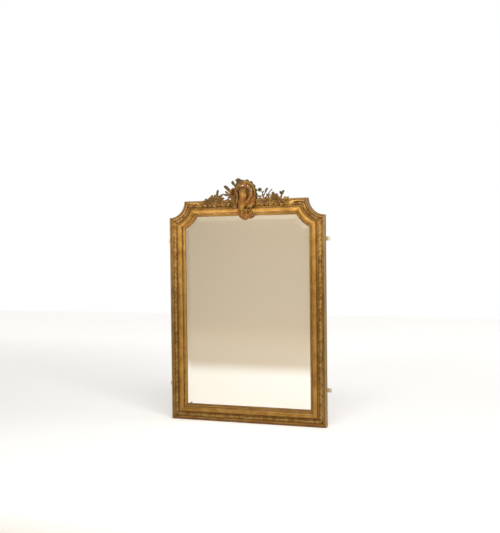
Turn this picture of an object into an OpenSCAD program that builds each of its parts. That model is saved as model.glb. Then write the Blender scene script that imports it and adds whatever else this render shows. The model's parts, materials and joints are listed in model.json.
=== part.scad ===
// Overmantel mirror: a gilt frame with concave top corners, a bevelled plate and a carved crest.
// x runs across the frame from its middle, z up from its foot, and the wall is the plane y = 0.
// A section is drawn with w, the distance in from the frame's outer edge, and h, the height off the wall.

/* [Frame] */
// Width of the frame between its straight sides
frame_w = 1000; // [860:10:1300]
// Height of the frame without its crest
frame_h = 1386; // [1100:1:1700]
// Radius of the concave quarter circle at each top corner
notch_r = 103; // [85:1:130]

/* [Carcass] */
// Thickness of the pine boards behind the moulding
board_t = 26; // [22:1:32]
// Width by which the moulding covers the mirror plate
rebate_w = 8; // [6:0.5:11]
// Width of the ledge that the backboards lie on
ledge_w = 12; // [10:0.5:16]
// Length of the key across each top corner joint
key_l = 64; // [40:1:70]
// Width of that key
key_w = 20; // [12:1:24]
// Thickness of that key
key_t = 10; // [6:0.5:12]

/* [Moulding] */
// Width of the round bead on the outer edge
bead_w = 9; // [7:0.5:12]
// Width and depth of the hollow beside the bead
hollow_w = 9; // [7:0.5:11]
// Width of the flat ground that carries the leaf strip
ground_w = 28; // [24:0.5:34]
// Height of that ground off the wall
ground_h = 38; // [35:0.5:42]
// Width of the narrow groove beside the torus
quirk_w = 6; // [4:0.5:8]
// Depth of that groove below the ground
quirk_d = 3; // [1:0.5:5]
// Width of the half round torus
torus_w = 30; // [26:0.5:34]
// Height of the torus's crown off the wall
torus_h = 58; // [54:0.5:64]
// Width of the bed between the torus and the sight edge's splay
sight_bed_w = 9; // [8:0.5:12]
// Width of the splay down to the sight edge
splay_w = 7; // [5:0.5:9]
// Drop of that splay
splay_d = 4; // [2:0.5:5]

/* [Leaf strip] */
// Height of the leaves above the ground
leaf_t = 7; // [4:0.5:9]
// Distance from one leaf to the next
leaf_pitch = 32; // [26:1:44]
// Bare ground left on each side of the strip
strip_margin = 1; // [0.5:0.25:3]

/* [Sight bead] */
// Width of the bead strip beside the torus
pearl_w = 6; // [4:0.5:7]
// Height of its straight foot
pearl_foot = 1; // [0.5:0.25:2]

/* [Mirror plate] */
// Thickness of the plate
glass_t = 5; // [4:0.5:6]
// Gap between the plate's edge and the carcass
glass_gap = 1; // [0.5:0.25:2]
// Width of the bevel
bevel_w = 34; // [24:1:40]
// Thickness left at the plate's edge
bevel_edge_t = 2.5; // [1.5:0.25:3.5]
// Length of each glazing block
block_l = 40; // [20:1:60]
// Leg of the glazing block along the carcass
block_h = 11; // [8:0.5:12]
// Leg of the glazing block along the plate
block_w = 10; // [7:0.5:12]

/* [Backboards] */
// Thickness of the backboards
back_t = 8; // [6:0.5:10]
// Gap round and between the backboards
back_gap = 0.5; // [0.25:0.25:1.5]
// Diameter of a nail's shank
nail_d = 2; // [1.5:0.25:2.5]
// Diameter of a nail's head
nail_head_d = 4.5; // [3.5:0.25:6]
// Length of a nail
nail_l = 20; // [14:0.5:22]
// Distance from a board's edge to its nail
nail_edge = 34; // [20:1:50]

/* [Wall plates] */
// Thickness of a wall plate
plate_t = 3; // [2:0.25:4]
// Height of a wall plate
plate_h = 25; // [20:1:32]
// Length of the tab beside the frame
tab_l = 26; // [20:1:32]
// Length of the wall plate that lies behind the frame
plate_in = 52; // [44:1:56]
// Radius of a wall plate's corners
plate_corner_r = 5; // [2:0.5:8]
// Diameter of the wall screw's hole
wall_hole_d = 5; // [4:0.25:7]
// Distance from the frame's side to that hole
wall_hole_out = 14; // [11:0.5:16]
// Height of the lower plates above the frame's foot
plate_low = 219; // [180:1:300]
// Distance of the upper plates below the notch
plate_drop = 145; // [120:1:200]

/* [Wood screws] */
// Diameter of a wood screw's shank
screw_d = 3.5; // [3:0.25:4.5]
// Diameter of its countersunk head
screw_head_d = 7; // [6:0.25:8]
// Length of a wood screw
screw_l = 18; // [14:1:22]
// Width of the slot in its head
slot_w = 1; // [0.5:0.25:1.5]
// Depth of that slot
slot_d = 0.9; // [0.5:0.1:1.2]
// Distance from the frame's side to a plate's first screw
plate_screw_in = 14; // [11:1:18]
// Distance between the two screws of a plate
plate_screw_pitch = 24; // [18:1:28]

/* [Crest] */
// Height of the crest above the frame
crest_rise = 134; // [110:1:160]
// Radius of the pine block that backs the crest
crest_block_r = 58; // [45:1:62]
// Distance from the frame's middle to the crest block's middle
crest_block_x = 8; // [0:1:16]
// Width of an iron strap on the crest block
strap_w = 16; // [12:1:20]
// Thickness of that strap
strap_t = 2.5; // [2:0.25:4]
// Length of that strap below the frame's top edge
strap_down = 62; // [50:1:70]
// Length of that strap above the frame's top edge
strap_up = 36; // [30:1:40]
// Distance from one strap to the other
strap_pitch = 60; // [44:1:64]
// Distance from a strap's end to its screw
strap_end = 9; // [7:0.5:12]
// Distance between the two screws at a strap's foot
strap_screw_pitch = 30; // [20:1:36]
// Length of leaf strip left bare between a corner's mitre and a flower spray
bare_strip_l = 67; // [50:1:90]

/* [Fits] */
// Clearance of a key, plate or strap in its pocket
pocket_clear = 0.15; // [0.05:0.05:0.4]

/* [Hidden] */
$fn = 48;
tiny = 0.01;
beyond = 5;

rail_w = bead_w + hollow_w + ground_w + quirk_w + torus_w + sight_bed_w + splay_w;
board_w = rail_w - rebate_w;
mid_w = bead_w + hollow_w + ground_w / 2;
spray_reach = frame_w / 2 - mitre_drop(mid_w) - bare_strip_l;
lap_h = board_t / 2;
bead_c = ground_h + hollow_w;
ground_0 = bead_w + hollow_w;
ground_1 = ground_0 + ground_w;
torus_0 = ground_1 + quirk_w;
torus_1 = torus_0 + torus_w;
sight_h = ground_h - quirk_d - splay_d;
bed_h = ground_h - quirk_d;
splay_0 = torus_1 + sight_bed_w;
pearl_c = torus_1 + sight_bed_w / 2;
glass_edge = board_w + glass_gap;
glass_front = board_t;
glass_back = board_t - glass_t;
back_edge = board_w - ledge_w + back_gap;
plank_n = 6;
plank_h = (frame_h - 2 * back_edge - (plank_n - 1) * back_gap) / plank_n;
nail_in = board_w - ledge_w / 2;
plate_z = [plate_low, frame_h - notch_r - plate_drop];
screw_cone_h = (screw_head_d - screw_d) / 2;
mitre_far = 1.5 * rail_w;
mitre_steps = 9;
strap_x = [crest_block_x - strap_pitch / 2, crest_block_x + strap_pitch / 2];
// The crest's points are drawn for a rise of 134 mm and a spray that ends 302 mm from the middle.
crest_k = crest_rise / 134;
spray_k = spray_reach / 302;
ball_fn = 10;
dot_fn = 6;

pine = "#b48a55";
old_pine = "#8f6b41";
gilt = "#b58a48";
bright_gilt = "#caa05a";
dusty_gilt = "#8a7450";
brass = "#b9ab84";
iron = "#4a4642";

// ---- placing ----

// A flat shape in x and z, standing between two heights off the wall
module slab(h0, h1) translate([0, -h0, 0]) rotate([90, 0, 0]) linear_extrude(h1 - h0) children();

// A section in w and h, run along the left side, the foot, the top or the left corner's arc
module run(l) linear_extrude(l) mirror([0, 1]) children();
module left_run() translate([-frame_w / 2, 0, 0]) run(frame_h) children();
module bottom_run() translate([frame_w / 2, 0, 0]) rotate([0, -90, 0]) run(frame_w) children();
module top_run() translate([0, 0, frame_h]) mirror([0, 0, 1]) bottom_run() children();
module corner_run() translate([-frame_w / 2, 0, frame_h]) rotate([90, 0, 0])
    rotate_extrude(angle = 90, start = 270) translate([notch_r, 0]) children();
module swapped() mirror([1, 0, 0]) children();

// A rod square to the wall, from one height off it to another
module rod(x, z, d, h0, h1) translate([x, -h0, z]) rotate([90, 0, 0]) cylinder(d = d, h = h1 - h0);

// ---- mitres ----

// On the mitre a point is as far from the straight edge as from the arc, which makes it a parabola.
function mitre_drop(w) = sqrt(notch_r * notch_r + 2 * notch_r * w);
mitre_ws = [for (i = [0 : mitre_steps]) mitre_far * i / mitre_steps];

// Corner region, as distances across and down from the arc's centre
corner_pts = concat(
    [[-beyond, -beyond], [-beyond, notch_r]],
    [for (w = mitre_ws) [w, mitre_drop(w)]],
    [for (i = [mitre_steps : -1 : 0]) [mitre_drop(mitre_ws[i]), mitre_ws[i]]],
    [[notch_r, -beyond]]);
module corner_region() slab(-beyond, torus_h + beyond)
    polygon([for (p = corner_pts) [p[0] - frame_w / 2, frame_h - p[1]]]);

// Left side, with its foot mitred at 45 degrees or left square
module side_region(mitred = true) slab(-beyond, torus_h + beyond)
    translate([-frame_w / 2, 0]) polygon(concat(
        [[-beyond, -beyond], [-beyond, frame_h - notch_r]],
        [for (w = mitre_ws) [w, frame_h - mitre_drop(w)]],
        [[mitre_far, mitred ? mitre_far : -beyond]]));

module bottom_region() slab(-beyond, torus_h + beyond) polygon([
    [-frame_w / 2 - beyond, -beyond], [frame_w / 2 + beyond, -beyond],
    [frame_w / 2 - mitre_far, mitre_far], [mitre_far - frame_w / 2, mitre_far]]);

top_half = concat([[frame_w / 2 - notch_r, -beyond]],
    [for (w = mitre_ws) [frame_w / 2 - mitre_drop(w), w]]);
module top_region() slab(-beyond, torus_h + beyond) polygon(concat(
    [for (p = top_half) [p[0], frame_h - p[1]]],
    [for (i = [len(top_half) - 1 : -1 : 0]) [-top_half[i][0], frame_h - top_half[i][1]]]));

// ---- sections ----

module carcass_section() difference() {
    square([board_w, board_t]);
    translate([board_w - ledge_w, -tiny]) square([ledge_w + 1, back_t + tiny]);
}

module moulding_section() {
    difference() {
        translate([0, board_t]) square([ground_0, bead_c - board_t]);
        translate([ground_0, bead_c]) circle(r = hollow_w);
    }
    translate([bead_w / 2, bead_c]) circle(d = bead_w);
    translate([ground_0 - tiny, board_t]) square([ground_w + tiny, ground_h - board_t]);
    translate([ground_1 - tiny, board_t]) square([quirk_w + 2 * tiny, bed_h - board_t]);
    translate([torus_0, board_t]) square([torus_w, torus_h - torus_w / 2 - board_t]);
    translate([torus_0 + torus_w / 2, torus_h - torus_w / 2]) circle(d = torus_w);
    translate([torus_1 - tiny, board_t]) square([sight_bed_w + tiny, bed_h - board_t]);
    polygon([[splay_0 - tiny, board_t], [rail_w, board_t], [rail_w, sight_h],
        [splay_0, bed_h], [splay_0 - tiny, bed_h]]);
}

module pearl_section() translate([pearl_c, bed_h]) {
    translate([-pearl_w / 2, 0]) square([pearl_w, pearl_foot + tiny]);
    translate([0, pearl_foot]) intersection() {
        circle(d = pearl_w);
        translate([-pearl_w, 0]) square([2 * pearl_w, pearl_w]);
    }
}

// The opening of the frame at a distance in from its outer edge, as a flat shape in x and z
module opening(in) difference() {
    translate([-frame_w / 2 + in, in]) square([frame_w - 2 * in, frame_h - 2 * in]);
    for (s = [-1, 1]) translate([s * frame_w / 2, frame_h]) circle(r = notch_r + in);
}

// ---- fixings ----

module wood_screw(x, z, slot_a = 0) difference() {
    union() {
        rod(x, z, screw_d, 0, screw_l);
        translate([x, 0, z]) rotate([90, 0, 0])
            cylinder(d1 = screw_head_d, d2 = screw_d, h = screw_cone_h);
    }
    translate([x, 0, z]) rotate([0, slot_a, 0])
        translate([-screw_head_d, -slot_d, -slot_w / 2]) cube([2 * screw_head_d, slot_d + 1, slot_w]);
}

module screw_hole(x, z) {
    rod(x, z, screw_d, -1, screw_l);
    translate([x, 0, z]) rotate([90, 0, 0])
        cylinder(d1 = screw_head_d, d2 = screw_d, h = screw_cone_h);
}

nail_head_h = 1;
module nail(x, z) {
    rod(x, z, nail_d, 0, nail_l);
    rod(x, z, nail_head_d, 0, nail_head_h);
}
module nail_hole(x, z) {
    rod(x, z, nail_d, -1, nail_l);
    rod(x, z, nail_head_d, -1, nail_head_h);
}

// Each backboard has two nails at each end, and the outer boards are nailed along their long edge too.
function plank_z(i) = back_edge + (i - 1) * (plank_h + back_gap);
function nail_top(i) = min(plank_z(i) + plank_h - nail_edge, frame_h - mitre_drop(nail_in) - nail_edge);
end_nails = [for (i = [1 : plank_n], z = [plank_z(i) + nail_edge, nail_top(i)])
    [frame_w / 2 - nail_in, z]];
edge_nails = [for (i = [-1 : 1]) i * (frame_w / 2 - mitre_drop(nail_in) - nail_edge)];

module nail_row_each() {
    for (p = end_nails, s = [-1, 1]) translate([s * p[0], 0, p[1]]) children();
    for (x = edge_nails, z = [nail_in, frame_h - nail_in]) translate([x, 0, z]) children();
}

plate_screw_x = [frame_w / 2 - plate_screw_in, frame_w / 2 - plate_screw_in - plate_screw_pitch];
strap_screw_z = [
    frame_h - strap_down + strap_end, frame_h - strap_down + strap_end + strap_screw_pitch,
    frame_h + strap_up - strap_end];

// ---- carcass ----

module key_outline(grow) let (a = mitre_drop(board_w) - notch_r)
    translate([-frame_w / 2, frame_h]) translate([board_w / 2, -mitre_drop(board_w / 2)])
    rotate(-atan2(a, board_w)) translate([-key_w / 2 - grow, -key_l / 2 - grow])
    square([key_w + 2 * grow, key_l + 2 * grow]);

module key_pair(grow, h0) for (side = [0, 1]) {
    if (side == 0) slab(h0, key_t + grow) key_outline(grow);
    else translate([-frame_w / 2, 0, frame_h]) mirror([1, 0, 1]) translate([frame_w / 2, 0, -frame_h])
        slab(h0, key_t + grow) key_outline(grow);
}

module plate_outline(grow) {
    l = tab_l + plate_in;
    r = plate_corner_r + grow;
    translate([-frame_w / 2 - tab_l, 0]) {
        translate([-grow, r - grow - plate_h / 2]) square([l + 2 * grow, plate_h + 2 * grow - 2 * r]);
        translate([r - grow, -grow - plate_h / 2]) square([l + 2 * grow - 2 * r, plate_h + 2 * grow]);
        for (x = [plate_corner_r, l - plate_corner_r], z = [-1, 1])
            translate([x, z * (plate_h / 2 - plate_corner_r)]) circle(r = r);
    }
}

module stile() color(pine) difference() {
    intersection() {
        left_run() carcass_section();
        side_region(mitred = false);
    }
    translate([-frame_w / 2 - 1, -lap_h, -1]) cube([board_w + 2, lap_h + 1, board_w + 1]);
    key_pair(pocket_clear, -1);
    for (z = plate_z) {
        translate([0, 0, z]) slab(-1, plate_t + pocket_clear) plate_outline(pocket_clear);
        for (x = plate_screw_x) screw_hole(-x, z);
    }
    nail_row_each() nail_hole(0, 0);
}

module left_stile() stile();
module right_stile() swapped() stile();

module bottom_rail() color(pine) difference() {
    union() {
        bottom_run() carcass_section();
        for (s = [-1, 1]) translate([s * (frame_w - board_w + ledge_w) / 2, -lap_h / 2, board_w / 2])
            cube([board_w - ledge_w, lap_h, board_w], center = true);
    }
    for (s = [-1, 1]) translate([s * (frame_w - board_w) / 2, -lap_h - board_t, board_w / 2])
        cube([board_w + 2 * tiny, 2 * board_t, board_w + 2], center = true);
    nail_row_each() nail_hole(0, 0);
}

module top_rail() color(pine) difference() {
    intersection() {
        top_run() carcass_section();
        top_region();
    }
    key_pair(pocket_clear, -1);
    swapped() key_pair(pocket_clear, -1);
    for (x = strap_x) {
        strap_pocket(x);
        for (z = strap_screw_z) screw_hole(x, z);
    }
    nail_row_each() nail_hole(0, 0);
}

module corner_block() color(pine) difference() {
    intersection() {
        corner_run() carcass_section();
        corner_region();
    }
    key_pair(pocket_clear, -1);
}

module left_corner_block() corner_block();
module right_corner_block() swapped() corner_block();

module corner_keys() color(old_pine) {
    key_pair(0, 0);
    swapped() key_pair(0, 0);
}

// ---- mouldings ----

module left_moulding() color(gilt) intersection() {
    left_run() moulding_section();
    side_region();
}
module right_moulding() swapped() left_moulding();

module bottom_moulding() color(gilt) intersection() {
    bottom_run() moulding_section();
    bottom_region();
}

module top_moulding() color(gilt) intersection() {
    top_run() moulding_section();
    top_region();
}

module left_corner_moulding() color(gilt) intersection() {
    corner_run() moulding_section();
    corner_region();
}
module right_corner_moulding() swapped() left_corner_moulding();

// ---- sight beads ----

module left_sight_bead() color(bright_gilt) intersection() {
    left_run() pearl_section();
    side_region();
}
module right_sight_bead() swapped() left_sight_bead();

module bottom_sight_bead() color(bright_gilt) intersection() {
    bottom_run() pearl_section();
    bottom_region();
}

module top_sight_bead() color(bright_gilt) intersection() {
    top_run() pearl_section();
    top_region();
}

module left_corner_sight_bead() color(bright_gilt) intersection() {
    corner_run() pearl_section();
    corner_region();
}
module right_corner_sight_bead() swapped() left_corner_sight_bead();

// ---- leaf strips: pressed leaves in a row, each lapping over the next ----

rows_per_leaf = 4;
leaf_rise = [0.3, 0.5, 0.75, 1];
function across(j) = ground_0 + strip_margin + (ground_w - 2 * strip_margin) * j / 4;
// Edges lie on the ground, and the row's height steps back away from the midrib.
function leaf_h(i, j) = ground_h + (j == 0 || j == 4 ? 0 :
    leaf_t * leaf_rise[(i + abs(j - 2)) % rows_per_leaf] * (j == 2 ? 1 : 0.75));

// place(u, w, h) gives the point at a share u of the strip's length
module leaf_strip(l, place) {
    rows = rows_per_leaf * max(1, round(l / leaf_pitch));
    at = function(i, j) i * 5 + j;
    polyhedron(
        points = [for (i = [0 : rows], j = [0 : 4]) place(i / rows, across(j), leaf_h(i, j))],
        faces = concat(
            [for (i = [0 : rows - 1], j = [0 : 3]) [at(i, j), at(i + 1, j), at(i + 1, j + 1)]],
            [for (i = [0 : rows - 1], j = [0 : 3]) [at(i, j), at(i + 1, j + 1), at(i, j + 1)]],
            [for (i = [0 : rows - 1]) [at(i, 0), at(i, 4), at(i + 1, 4)]],
            [for (i = [0 : rows - 1]) [at(i, 0), at(i + 1, 4), at(i + 1, 0)]],
            [for (j = [1 : 3]) [at(0, 0), at(0, j), at(0, j + 1)]],
            [for (j = [1 : 3]) [at(rows, 0), at(rows, j + 1), at(rows, j)]]));
}

function mix(a, b, u) = a + (b - a) * u;

module left_leaf_strip() color(gilt) leaf_strip(frame_h - mitre_drop(mid_w) - mid_w,
    function(u, w, h) [w - frame_w / 2, -h, mix(w, frame_h - mitre_drop(w), u)]);
module right_leaf_strip() swapped() left_leaf_strip();

module bottom_leaf_strip() color(gilt) leaf_strip(frame_w - 2 * mid_w,
    function(u, w, h) [mix(frame_w / 2 - w, w - frame_w / 2, u), -h, w]);

module top_left_leaf_strip() color(gilt) leaf_strip(bare_strip_l,
    function(u, w, h) [mix(mitre_drop(w) - frame_w / 2, -spray_reach, u), -h, frame_h - w]);
module top_right_leaf_strip() swapped() top_left_leaf_strip();

// Angle of the mitre point, measured down from the level line through the arc's centre
function mitre_angle(w) = atan2(mitre_drop(w), w);
module left_corner_leaf_strip() color(gilt)
    leaf_strip((notch_r + mid_w) * (2 * mitre_angle(mid_w) - 90) * PI / 180,
        function(u, w, h) let (a = mix(mitre_angle(w), 90 - mitre_angle(w), u), r = notch_r + w)
            [r * cos(a) - frame_w / 2, -h, frame_h - r * sin(a)]);
module right_corner_leaf_strip() swapped() left_corner_leaf_strip();

// ---- mirror plate and what holds it ----

// Wedge of glass ground away along an edge, as a section in w and h
bevel_slope = (glass_t - bevel_edge_t) / bevel_w;
module bevel_section() polygon([
    [glass_edge - beyond, glass_front - glass_t + bevel_edge_t - beyond * bevel_slope],
    [glass_edge + bevel_w, glass_front],
    [glass_edge + bevel_w, glass_front + beyond],
    [glass_edge - beyond, glass_front + beyond]]);

module mirror_plate() color("#c9cfcd") difference() {
    slab(glass_back, glass_front) opening(glass_edge);
    left_run() bevel_section();
    swapped() left_run() bevel_section();
    bottom_run() bevel_section();
    top_run() bevel_section();
    for (s = [0, 1]) mirror([s, 0, 0]) translate([-frame_w / 2, 0, frame_h]) rotate([90, 0, 0])
        rotate_extrude(angle = 110, start = 260) translate([notch_r, 0]) bevel_section();
}

// A triangular block in the angle between the plate's back and the carcass
module block_section() polygon([
    [board_w, glass_back], [board_w + block_w, glass_back], [board_w, glass_back - block_h]]);
module side_block(z) translate([-frame_w / 2, 0, z - block_l / 2]) run(block_l) block_section();
module level_block(x) translate([x + block_l / 2, 0, 0]) rotate([0, -90, 0]) run(block_l) block_section();

side_block_n = 5;
level_block_n = 3;
block_side_z = [for (i = [1 : side_block_n])
    mix(board_w, frame_h - mitre_drop(board_w), i / (side_block_n + 1))];
block_level_x = [for (i = [1 : level_block_n])
    mix(mitre_drop(board_w) - frame_w / 2, frame_w / 2 - mitre_drop(board_w), i / (level_block_n + 1))];

module glazing_blocks() color(old_pine) {
    for (z = block_side_z) {
        side_block(z);
        swapped() side_block(z);
    }
    for (x = block_level_x) {
        level_block(x);
        translate([0, 0, frame_h]) mirror([0, 0, 1]) level_block(x);
    }
}

module backboard(i) color(i % 2 == 0 ? pine : old_pine) difference() {
    slab(0, back_t) intersection() {
        opening(back_edge);
        translate([-frame_w / 2, plank_z(i)]) square([frame_w, plank_h]);
    }
    nail_row_each() nail_hole(0, 0);
}

module backboard_nails() color(iron) nail_row_each() nail(0, 0);

// ---- wall plates ----

module wall_plate(z) color(brass) difference() {
    translate([0, 0, z]) slab(0, plate_t) plate_outline(0);
    rod(-frame_w / 2 - wall_hole_out, z, wall_hole_d, -1, plate_t + 1);
    for (x = plate_screw_x) screw_hole(-x, z);
}

module lower_left_wall_plate() wall_plate(plate_z[0]);
module lower_right_wall_plate() swapped() wall_plate(plate_z[0]);
module upper_left_wall_plate() wall_plate(plate_z[1]);
module upper_right_wall_plate() swapped() wall_plate(plate_z[1]);

slot_turn = 35;
module wall_plate_screws() color(brass) for (x = plate_screw_x, z = plate_z, s = [-1, 1])
    wood_screw(s * x, z, slot_turn * (x + z) / screw_d);

// ---- crest block and straps ----

module strap_outline(x, grow) translate([x - strap_w / 2 - grow, frame_h - strap_down - grow])
    square([strap_w + 2 * grow, strap_down + strap_up + 2 * grow]);
module strap_pocket(x) slab(-1, strap_t + pocket_clear) strap_outline(x, pocket_clear);

module crest_block() color(old_pine) difference() {
    slab(0, board_t) intersection() {
        translate([crest_block_x, frame_h]) circle(r = crest_block_r);
        translate([crest_block_x - 2 * crest_block_r, frame_h])
            square([4 * crest_block_r, 2 * crest_block_r]);
    }
    for (x = strap_x) {
        strap_pocket(x);
        for (z = strap_screw_z) screw_hole(x, z);
    }
}

module crest_strap(x) color(iron) difference() {
    slab(0, strap_t) strap_outline(x, 0);
    for (z = strap_screw_z) screw_hole(x, z);
}
module left_crest_strap() crest_strap(strap_x[0]);
module right_crest_strap() crest_strap(strap_x[1]);
module crest_strap_screws() color(iron) for (x = strap_x, z = strap_screw_z)
    wood_screw(x, z, slot_turn * (x + z) / screw_d);

// ---- carved and pressed ornament of the crest ----
// A point is [x from the middle, height off the ground of the moulding, z from the frame's top, radius].

function crest_at(p) = [p[0] * crest_k, -ground_h - p[1] * crest_k, frame_h + p[2] * crest_k];
module ball(p, fn = ball_fn) translate(crest_at(p)) sphere(r = p[3] * crest_k, $fn = fn);

// A carved roll that thickens and thins along its points
module stroke(pts) for (i = [0 : len(pts) - 2]) hull() {
    ball(pts[i]);
    ball(pts[i + 1]);
}

module dot(p, r) ball([p[0], p[1], p[2], r], dot_fn);

// A folded leaf from its foot to its tip: rings of left edge, midrib, right edge and back
leaf_us = [0, 0.22, 0.5, 0.78, 1];
leaf_ws = [0.16, 0.72, 1, 0.66, 0.08];
module leaf(foot, tip, w, rise = 5, bend = 0) {
    d = tip - foot;
    side = [-d[2], 0, d[0]] / norm(d);
    last = len(leaf_us) - 1;
    rings = [for (i = [0 : last]) let (
        u = leaf_us[i],
        swell = 4 * u * (1 - u),
        c = foot + d * u + side * bend * swell + [0, rise * swell, 0],
        e = side * w / 2 * leaf_ws[i])
        [c + e, c + [0, 1 + 2.2 * leaf_ws[i], 0], c - e, c - [0, 1.6, 0]]];
    at = function(i, j) 4 * i + j % 4;
    polyhedron(
        points = [for (r = rings, q = r) crest_at(q)],
        faces = concat([[0, 1, 2, 3], [at(last, 3), at(last, 2), at(last, 1), at(last, 0)]],
            [for (i = [0 : last - 1], j = [0 : 3]) [at(i, j), at(i + 1, j), at(i, j + 1)]],
            [for (i = [0 : last - 1], j = [0 : 3]) [at(i + 1, j), at(i + 1, j + 1), at(i, j + 1)]]));
}

// An open flower of rounded petals about a boss
module flower(c, r, petals = 5) {
    for (i = [0 : petals - 1]) let (a = 360 * i / petals + 20) hull() {
        dot([c[0], c[1] - 2, c[2]], 0.2 * r);
        dot([c[0] + 0.66 * r * cos(a), c[1] + 1, c[2] + 0.66 * r * sin(a)], 0.36 * r);
    }
    ball([c[0], c[1] + 2, c[2], 0.32 * r], 8);
}

// A curl that winds inward from its outer radius
function curl(c, r, from, turn, thick, n = 9) = [for (i = [0 : n])
    let (u = i / n, q = r * (1 - 0.75 * u), a = from + turn * u)
    [c[0] + q * cos(a), c[1] + 2 * u, c[2] + q * sin(a), thick * (1 - 0.35 * u)]];

// What the crest's pieces seat on: the moulding, the carcass and the crest block
module seat() {
    top_run() moulding_section();
    translate([-frame_w / 2, -board_t, 0]) cube([frame_w, board_t + 1, frame_h + 2 * crest_rise]);
}

eyes = [[-15, 89, 9], [19, 83, 8], [44, 60, 7]];

module cartouche_form() {
    // Two long lobes that narrow into one stem, with the valley between them
    stroke([[-12, 11, 40, 22], [-11, 15, 22, 24], [-9, 19, -2, 20], [-9, 22, -28, 15], [-13, 27, -58, 13]]);
    stroke([[38, 8, 38, 14], [39, 12, 18, 15], [34, 15, -6, 13], [20, 19, -28, 11], [2, 24, -46, 9]]);
    stroke([[16, 3, 46, 13], [16, 6, 10, 12], [10, 12, -22, 10]]);
    // The leaf that wraps the stem's right side, and the roll on its left
    stroke([[62, 5, 16, 12], [60, 12, -6, 14], [54, 16, -26, 12], [42, 20, -44, 9]]);
    stroke([[-38, 10, -20, 9], [-42, 16, -42, 9], [-37, 20, -62, 9]]);
    // Web behind the lobes, with the three pierced eyes
    difference() {
        hull() for (p = [[-44, 40, 14], [-38, 84, 14], [-12, 98, 16], [20, 98, 16], [48, 76, 16],
            [62, 30, 14], [52, -8, 12], [-40, -8, 12]])
            translate([p[0] * crest_k, -board_t, frame_h + p[1] * crest_k]) rotate([90, 0, 0])
                cylinder(r = p[2] * crest_k, h = ground_h + 3 * crest_k - board_t, $fn = 20);
        for (p = eyes) translate([p[0] * crest_k, 0, frame_h + p[1] * crest_k]) rotate([90, 0, 0])
            cylinder(r = p[2] * crest_k, h = 2 * torus_h, $fn = 16);
    }
    // Rolls that frame the eyes
    stroke([[-44, 5, 62, 6], [-36, 8, 78, 7], [-33, 8, 94, 6]]);
    stroke([[2, 6, 74, 6], [3, 8, 88, 6], [0, 8, 102, 6]]);
    stroke([[30, 6, 62, 6], [36, 8, 74, 6], [42, 8, 86, 6]]);
}

// The rim runs from the upper left, over the top and down the right side to a curl by the stem.
rim_line = [
    [-56, 5, 86, 5], [-48, 8, 100, 7], [-28, 10, 108, 8], [0, 11, 110, 8], [28, 11, 105, 8],
    [49, 11, 91, 8], [63, 11, 70, 8], [70, 11, 46, 8], [72, 12, 20, 8], [70, 14, -4, 8],
    [62, 18, -24, 8], [50, 23, -40, 7], [40, 28, -48, 6]];
scallop_tips = [[-26, 121], [-4, 124], [20, 122], [42, 111], [61, 94], [74, 72], [81, 48], [82, 24], [80, 2]];

module cartouche_rim_form() {
    stroke(rim_line);
    stroke(curl([30, 30, -58], 12, 45, -330, 5));
    // Scallops along the outer edge
    for (p = scallop_tips) leaf([0.84 * p[0], 6, 0.84 * p[1]], [p[0], 7, p[1]], 24, 6);
}

module left_scroll_form() {
    stroke([[-62, 9, 66, 6], [-52, 14, 52, 7], [-44, 16, 34, 7], [-40, 17, 12, 7], [-43, 18, -10, 7]]);
    stroke(curl([-68, 9, 58], 11, 50, 300, 5));
    // Plain leaf that fills the scroll's back
    stroke([[-62, 2, 42, 12], [-58, 4, 20, 13], [-60, 5, 0, 14], [-54, 8, -20, 11]]);
}

module pendant_form() {
    // Shell with ribs across the stem
    hull() {
        ball([-22, 18, -78, 13]);
        ball([30, 18, -94, 10]);
        ball([4, 18, -108, 10]);
        ball([-10, 20, -66, 11]);
    }
    for (i = [0 : 3]) stroke([
        [-29 + i, 26, -68 - 9 * i, 5], [-12 + i, 32, -71 - 9 * i, 7], [5 + i, 27, -75 - 9 * i, 5]]);
    stroke([[-6, 24, -102, 9], [2, 22, -112, 8], [6, 18, -120, 5]]);
    // Left edge of the shell, and the scroll to its right
    stroke([[-37, 20, -64, 8], [-37, 20, -84, 8], [-26, 20, -102, 8], [-8, 19, -114, 6]]);
    stroke([[10, 24, -98, 9], [30, 26, -102, 10], [46, 26, -97, 9], [54, 26, -86, 7], [48, 27, -78, 5]]);
}

module acanthus_form() {
    leaf([-56, 7, 20], [-126, 8, 88], 34, 9, -4);
    leaf([-58, 6, 44], [-78, 8, 112], 24, 8, 4);
    leaf([-62, 6, 16], [-128, 8, 45], 26, 7, 3);
    leaf([-58, 6, 30], [-98, 6, 70], 28, 10, -4);
    leaf([-56, 6, 0], [-96, 6, 16], 28, 8);
    leaf([-52, 8, -16], [-90, 7, -12], 26, 8);
    leaf([-50, 10, -38], [-80, 8, -40], 24, 6);
    stroke([[-60, 5, 54, 7], [-64, 4, 28, 10], [-66, 5, 0, 9], [-62, 7, -24, 9], [-56, 10, -42, 8]]);
    // Rolled tips
    for (p = [[-77, 9, 106, 6], [-120, 9, 82, 4], [-122, 9, 44, 4], [-92, 8, 14, 4]]) hull() {
        ball(p, 8);
        ball([p[0] + 0.06 * abs(p[0]), p[1], p[2] - 8, 2.5], 8);
    }
}

module finial_form() {
    stroke([[-46, 8, 102, 6], [-42, 9, 116, 7], [-38, 9, 126, 7]]);
    leaf([-48, 8, 98], [-64, 8, 122], 15, 4);
    leaf([-38, 8, 112], [-20, 8, 130], 15, 4);
    leaf([-42, 8, 114], [-43, 9, 134], 13, 4);
    leaf([-45, 8, 104], [-70, 7, 97], 15, 4);
}

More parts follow.
